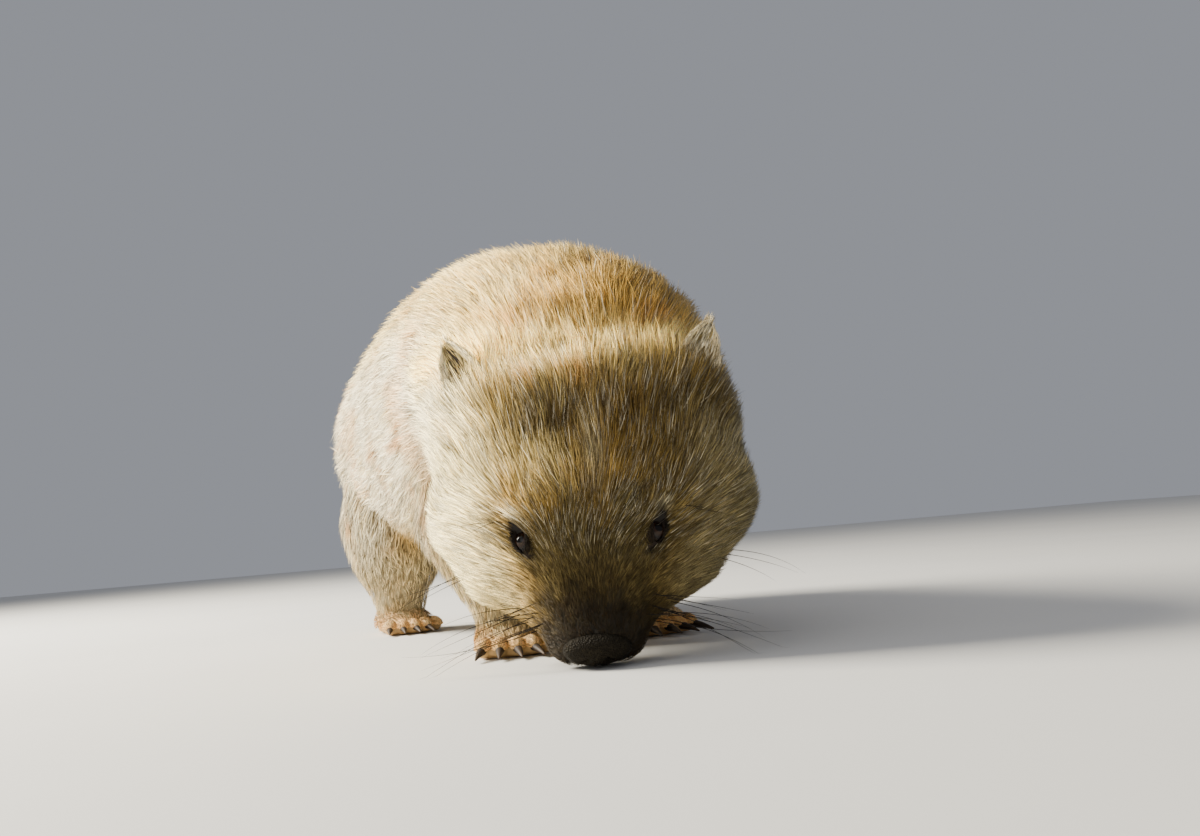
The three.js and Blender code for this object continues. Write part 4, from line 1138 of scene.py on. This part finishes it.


# Hair of the ears
# Close, soft hair up the back of each ear, and a pale fringe round the rim that leans over the cup.
# The left cup shows more of it and paler, as painted sunlight; the right cup's fewer, darker strands are
# painted shade.
for side, name, inside, painted_light_inside in ((1, "left", 420, 0.8), (-1, "right", 160, 0.2)):
    parts = []
    for start, end, count, reach, pale in (
        (np.pi + 0.02, 2 * np.pi - 0.02, 1500, 10, 0.3),
        (-0.5, 0.9, 560, 12, 0.6),
        (np.pi - 0.9, np.pi + 0.5, 560, 12, 0.6),
        (0.9, np.pi - 0.9, inside, 12, painted_light_inside),
    ):
        paths, outward, colour, share, angle = close_hair(
            lambda *where: ear_point(side, *where), -0.2, 2.6, ((0.16, 0.97), (start, end)), count,
            length=(0.75 * reach, 0.5 * reach), swirl=(0.7, 10), rise=(0.7, 0.7))
        width = 0.6 + 0.4 * random.random(len(share))
        dark = 0.4 * (random.random(len(share)) < 0.15)
        parts.append((paths, outward, width, blend(colour, CREAM, pale), dark, share, angle))
    hair_piece(f"coat_ear_{name}", *map(np.concatenate, zip(*parts)), slot="ear_fur")


# Whiskers
# Long, dark, tapered bristles from the pads of the muzzle, the cheeks and over the eyes, swept
# back and down.
BRISTLE_RADIUS = 0.38
bristles = []
run = steps(0, 1, 14)
for side in (1, -1):
    for distance, angle, length, sweep in (
        [(MUZZLE + 6 + 7 * (k % 3), 66 + 9 * (k // 3), 58 + 9 * (k * 5 % 7), 0.2 + 0.08 * (k % 4))
         for k in range(12)]
        + [(EYE_AT + 2 - 6 * k, 100 + 6 * k, 62 + 14 * k, 0.35) for k in range(3)]
        + [(EYE_AT - 15, 44 + 5 * k, 34 + 6 * k, 0.5) for k in range(2)]
    ):
        angle = side * np.radians(angle)
        root = body_point(distance, angle, skin_lift(distance, angle) - 1)
        _, ahead, upward, leftward = body_frame(distance)
        loose = random.normal(0, 0.12, (2, 3))
        start = unit(leftward * side * 0.9 + upward * np.cos(angle) * 0.35 + ahead * 0.2 + loose[0])
        end = unit(leftward * side * 0.7 - ahead * (0.3 + sweep) - np.array([0, 0, 0.9]) + loose[1])
        path = root + length * (start * (run - 0.5 * run**2) + end * 0.5 * run**2)
        bristles.append(closed(swept(path, BRISTLE_RADIUS * (1 - 0.9 * run[:, 0]), 6)))
whiskers = mesh_piece("whiskers", joined(bristles), 0.5)
bristle = Finish("whisker")
tone = bristle.noise(90)
bristle.finish(
    whiskers, Base_Color=bristle.mix((0.006, 0.005, 0.004), (0.03, 0.022, 0.016), tone),
    Roughness=0.45 + 0.2 * tone, Specular_IOR_Level=0.1)


# Floor, light and camera
# A pale seamless floor, a large soft key light from behind the animal's right, a weak fill and a
# soft top.
bpy.ops.mesh.primitive_plane_add(size=1)
floor = bpy.context.object
floor.name = "floor"
floor.data.transform(Matrix.Diagonal((14, 14, 1, 1)))
pale = Finish("pale_floor")
pale.finish(floor, Base_Color=pale.mix((0.62, 0.61, 0.58), (0.68, 0.67, 0.65), pale.noise(3)), Roughness=0.85)

world = bpy.data.worlds.new("studio")
world.use_nodes = True
background = world.node_tree.nodes["Background"]
background.inputs["Color"].default_value = (0.86, 0.9, 1.0, 1)
background.inputs["Strength"].default_value = 0.34
bpy.context.scene.world = world


def soft_light(name, spot, aim, size, power, colour):
    """A square area light at a spot, turned to its aim."""
    lamp = bpy.data.lights.new(name, "AREA")
    lamp.size = size
    lamp.energy = power
    lamp.color = colour
    holder = bpy.data.objects.new(name, lamp)
    bpy.context.scene.collection.objects.link(holder)
    direction = Vector(aim) - Vector(spot)
    holder.matrix_world = Matrix.Translation(spot) @ direction.to_track_quat("-Z", "Y").to_matrix().to_4x4()


soft_light("key", (-2.35, 1.25, 1.85), (0, -0.1, 0.15), 1.3, 460, (1, 0.94, 0.8))
soft_light("top", (-1.2, -0.4, 2.6), (0, -0.1, 0.2), 2.0, 16, (1, 0.98, 0.95))
soft_light("fill", (-1.5, -2.0, 0.9), (0, -0.2, 0.15), 1.6, 13, (1, 0.98, 0.95))

VIEW_POINT = (-0.29363, -1.16511, 0.0969)
SENSOR = 36
FOCAL_SHARE = 1167 / 1200
yaw, pitch, roll = np.radians((18.521, 5.561, -4.741))
level = Matrix.Rotation(-yaw, 4, "Z") @ Matrix.Rotation(np.pi / 2 + pitch, 4, "X")
camera = bpy.data.objects.new("camera", bpy.data.cameras.new("camera"))
camera.data.lens = FOCAL_SHARE * SENSOR
camera.data.sensor_width = SENSOR
camera.data.clip_start = 0.02
camera.matrix_world = Matrix.Translation(VIEW_POINT) @ level @ Matrix.Rotation(roll, 4, "Z")
bpy.context.scene.collection.objects.link(camera)
bpy.context.scene.camera = camera
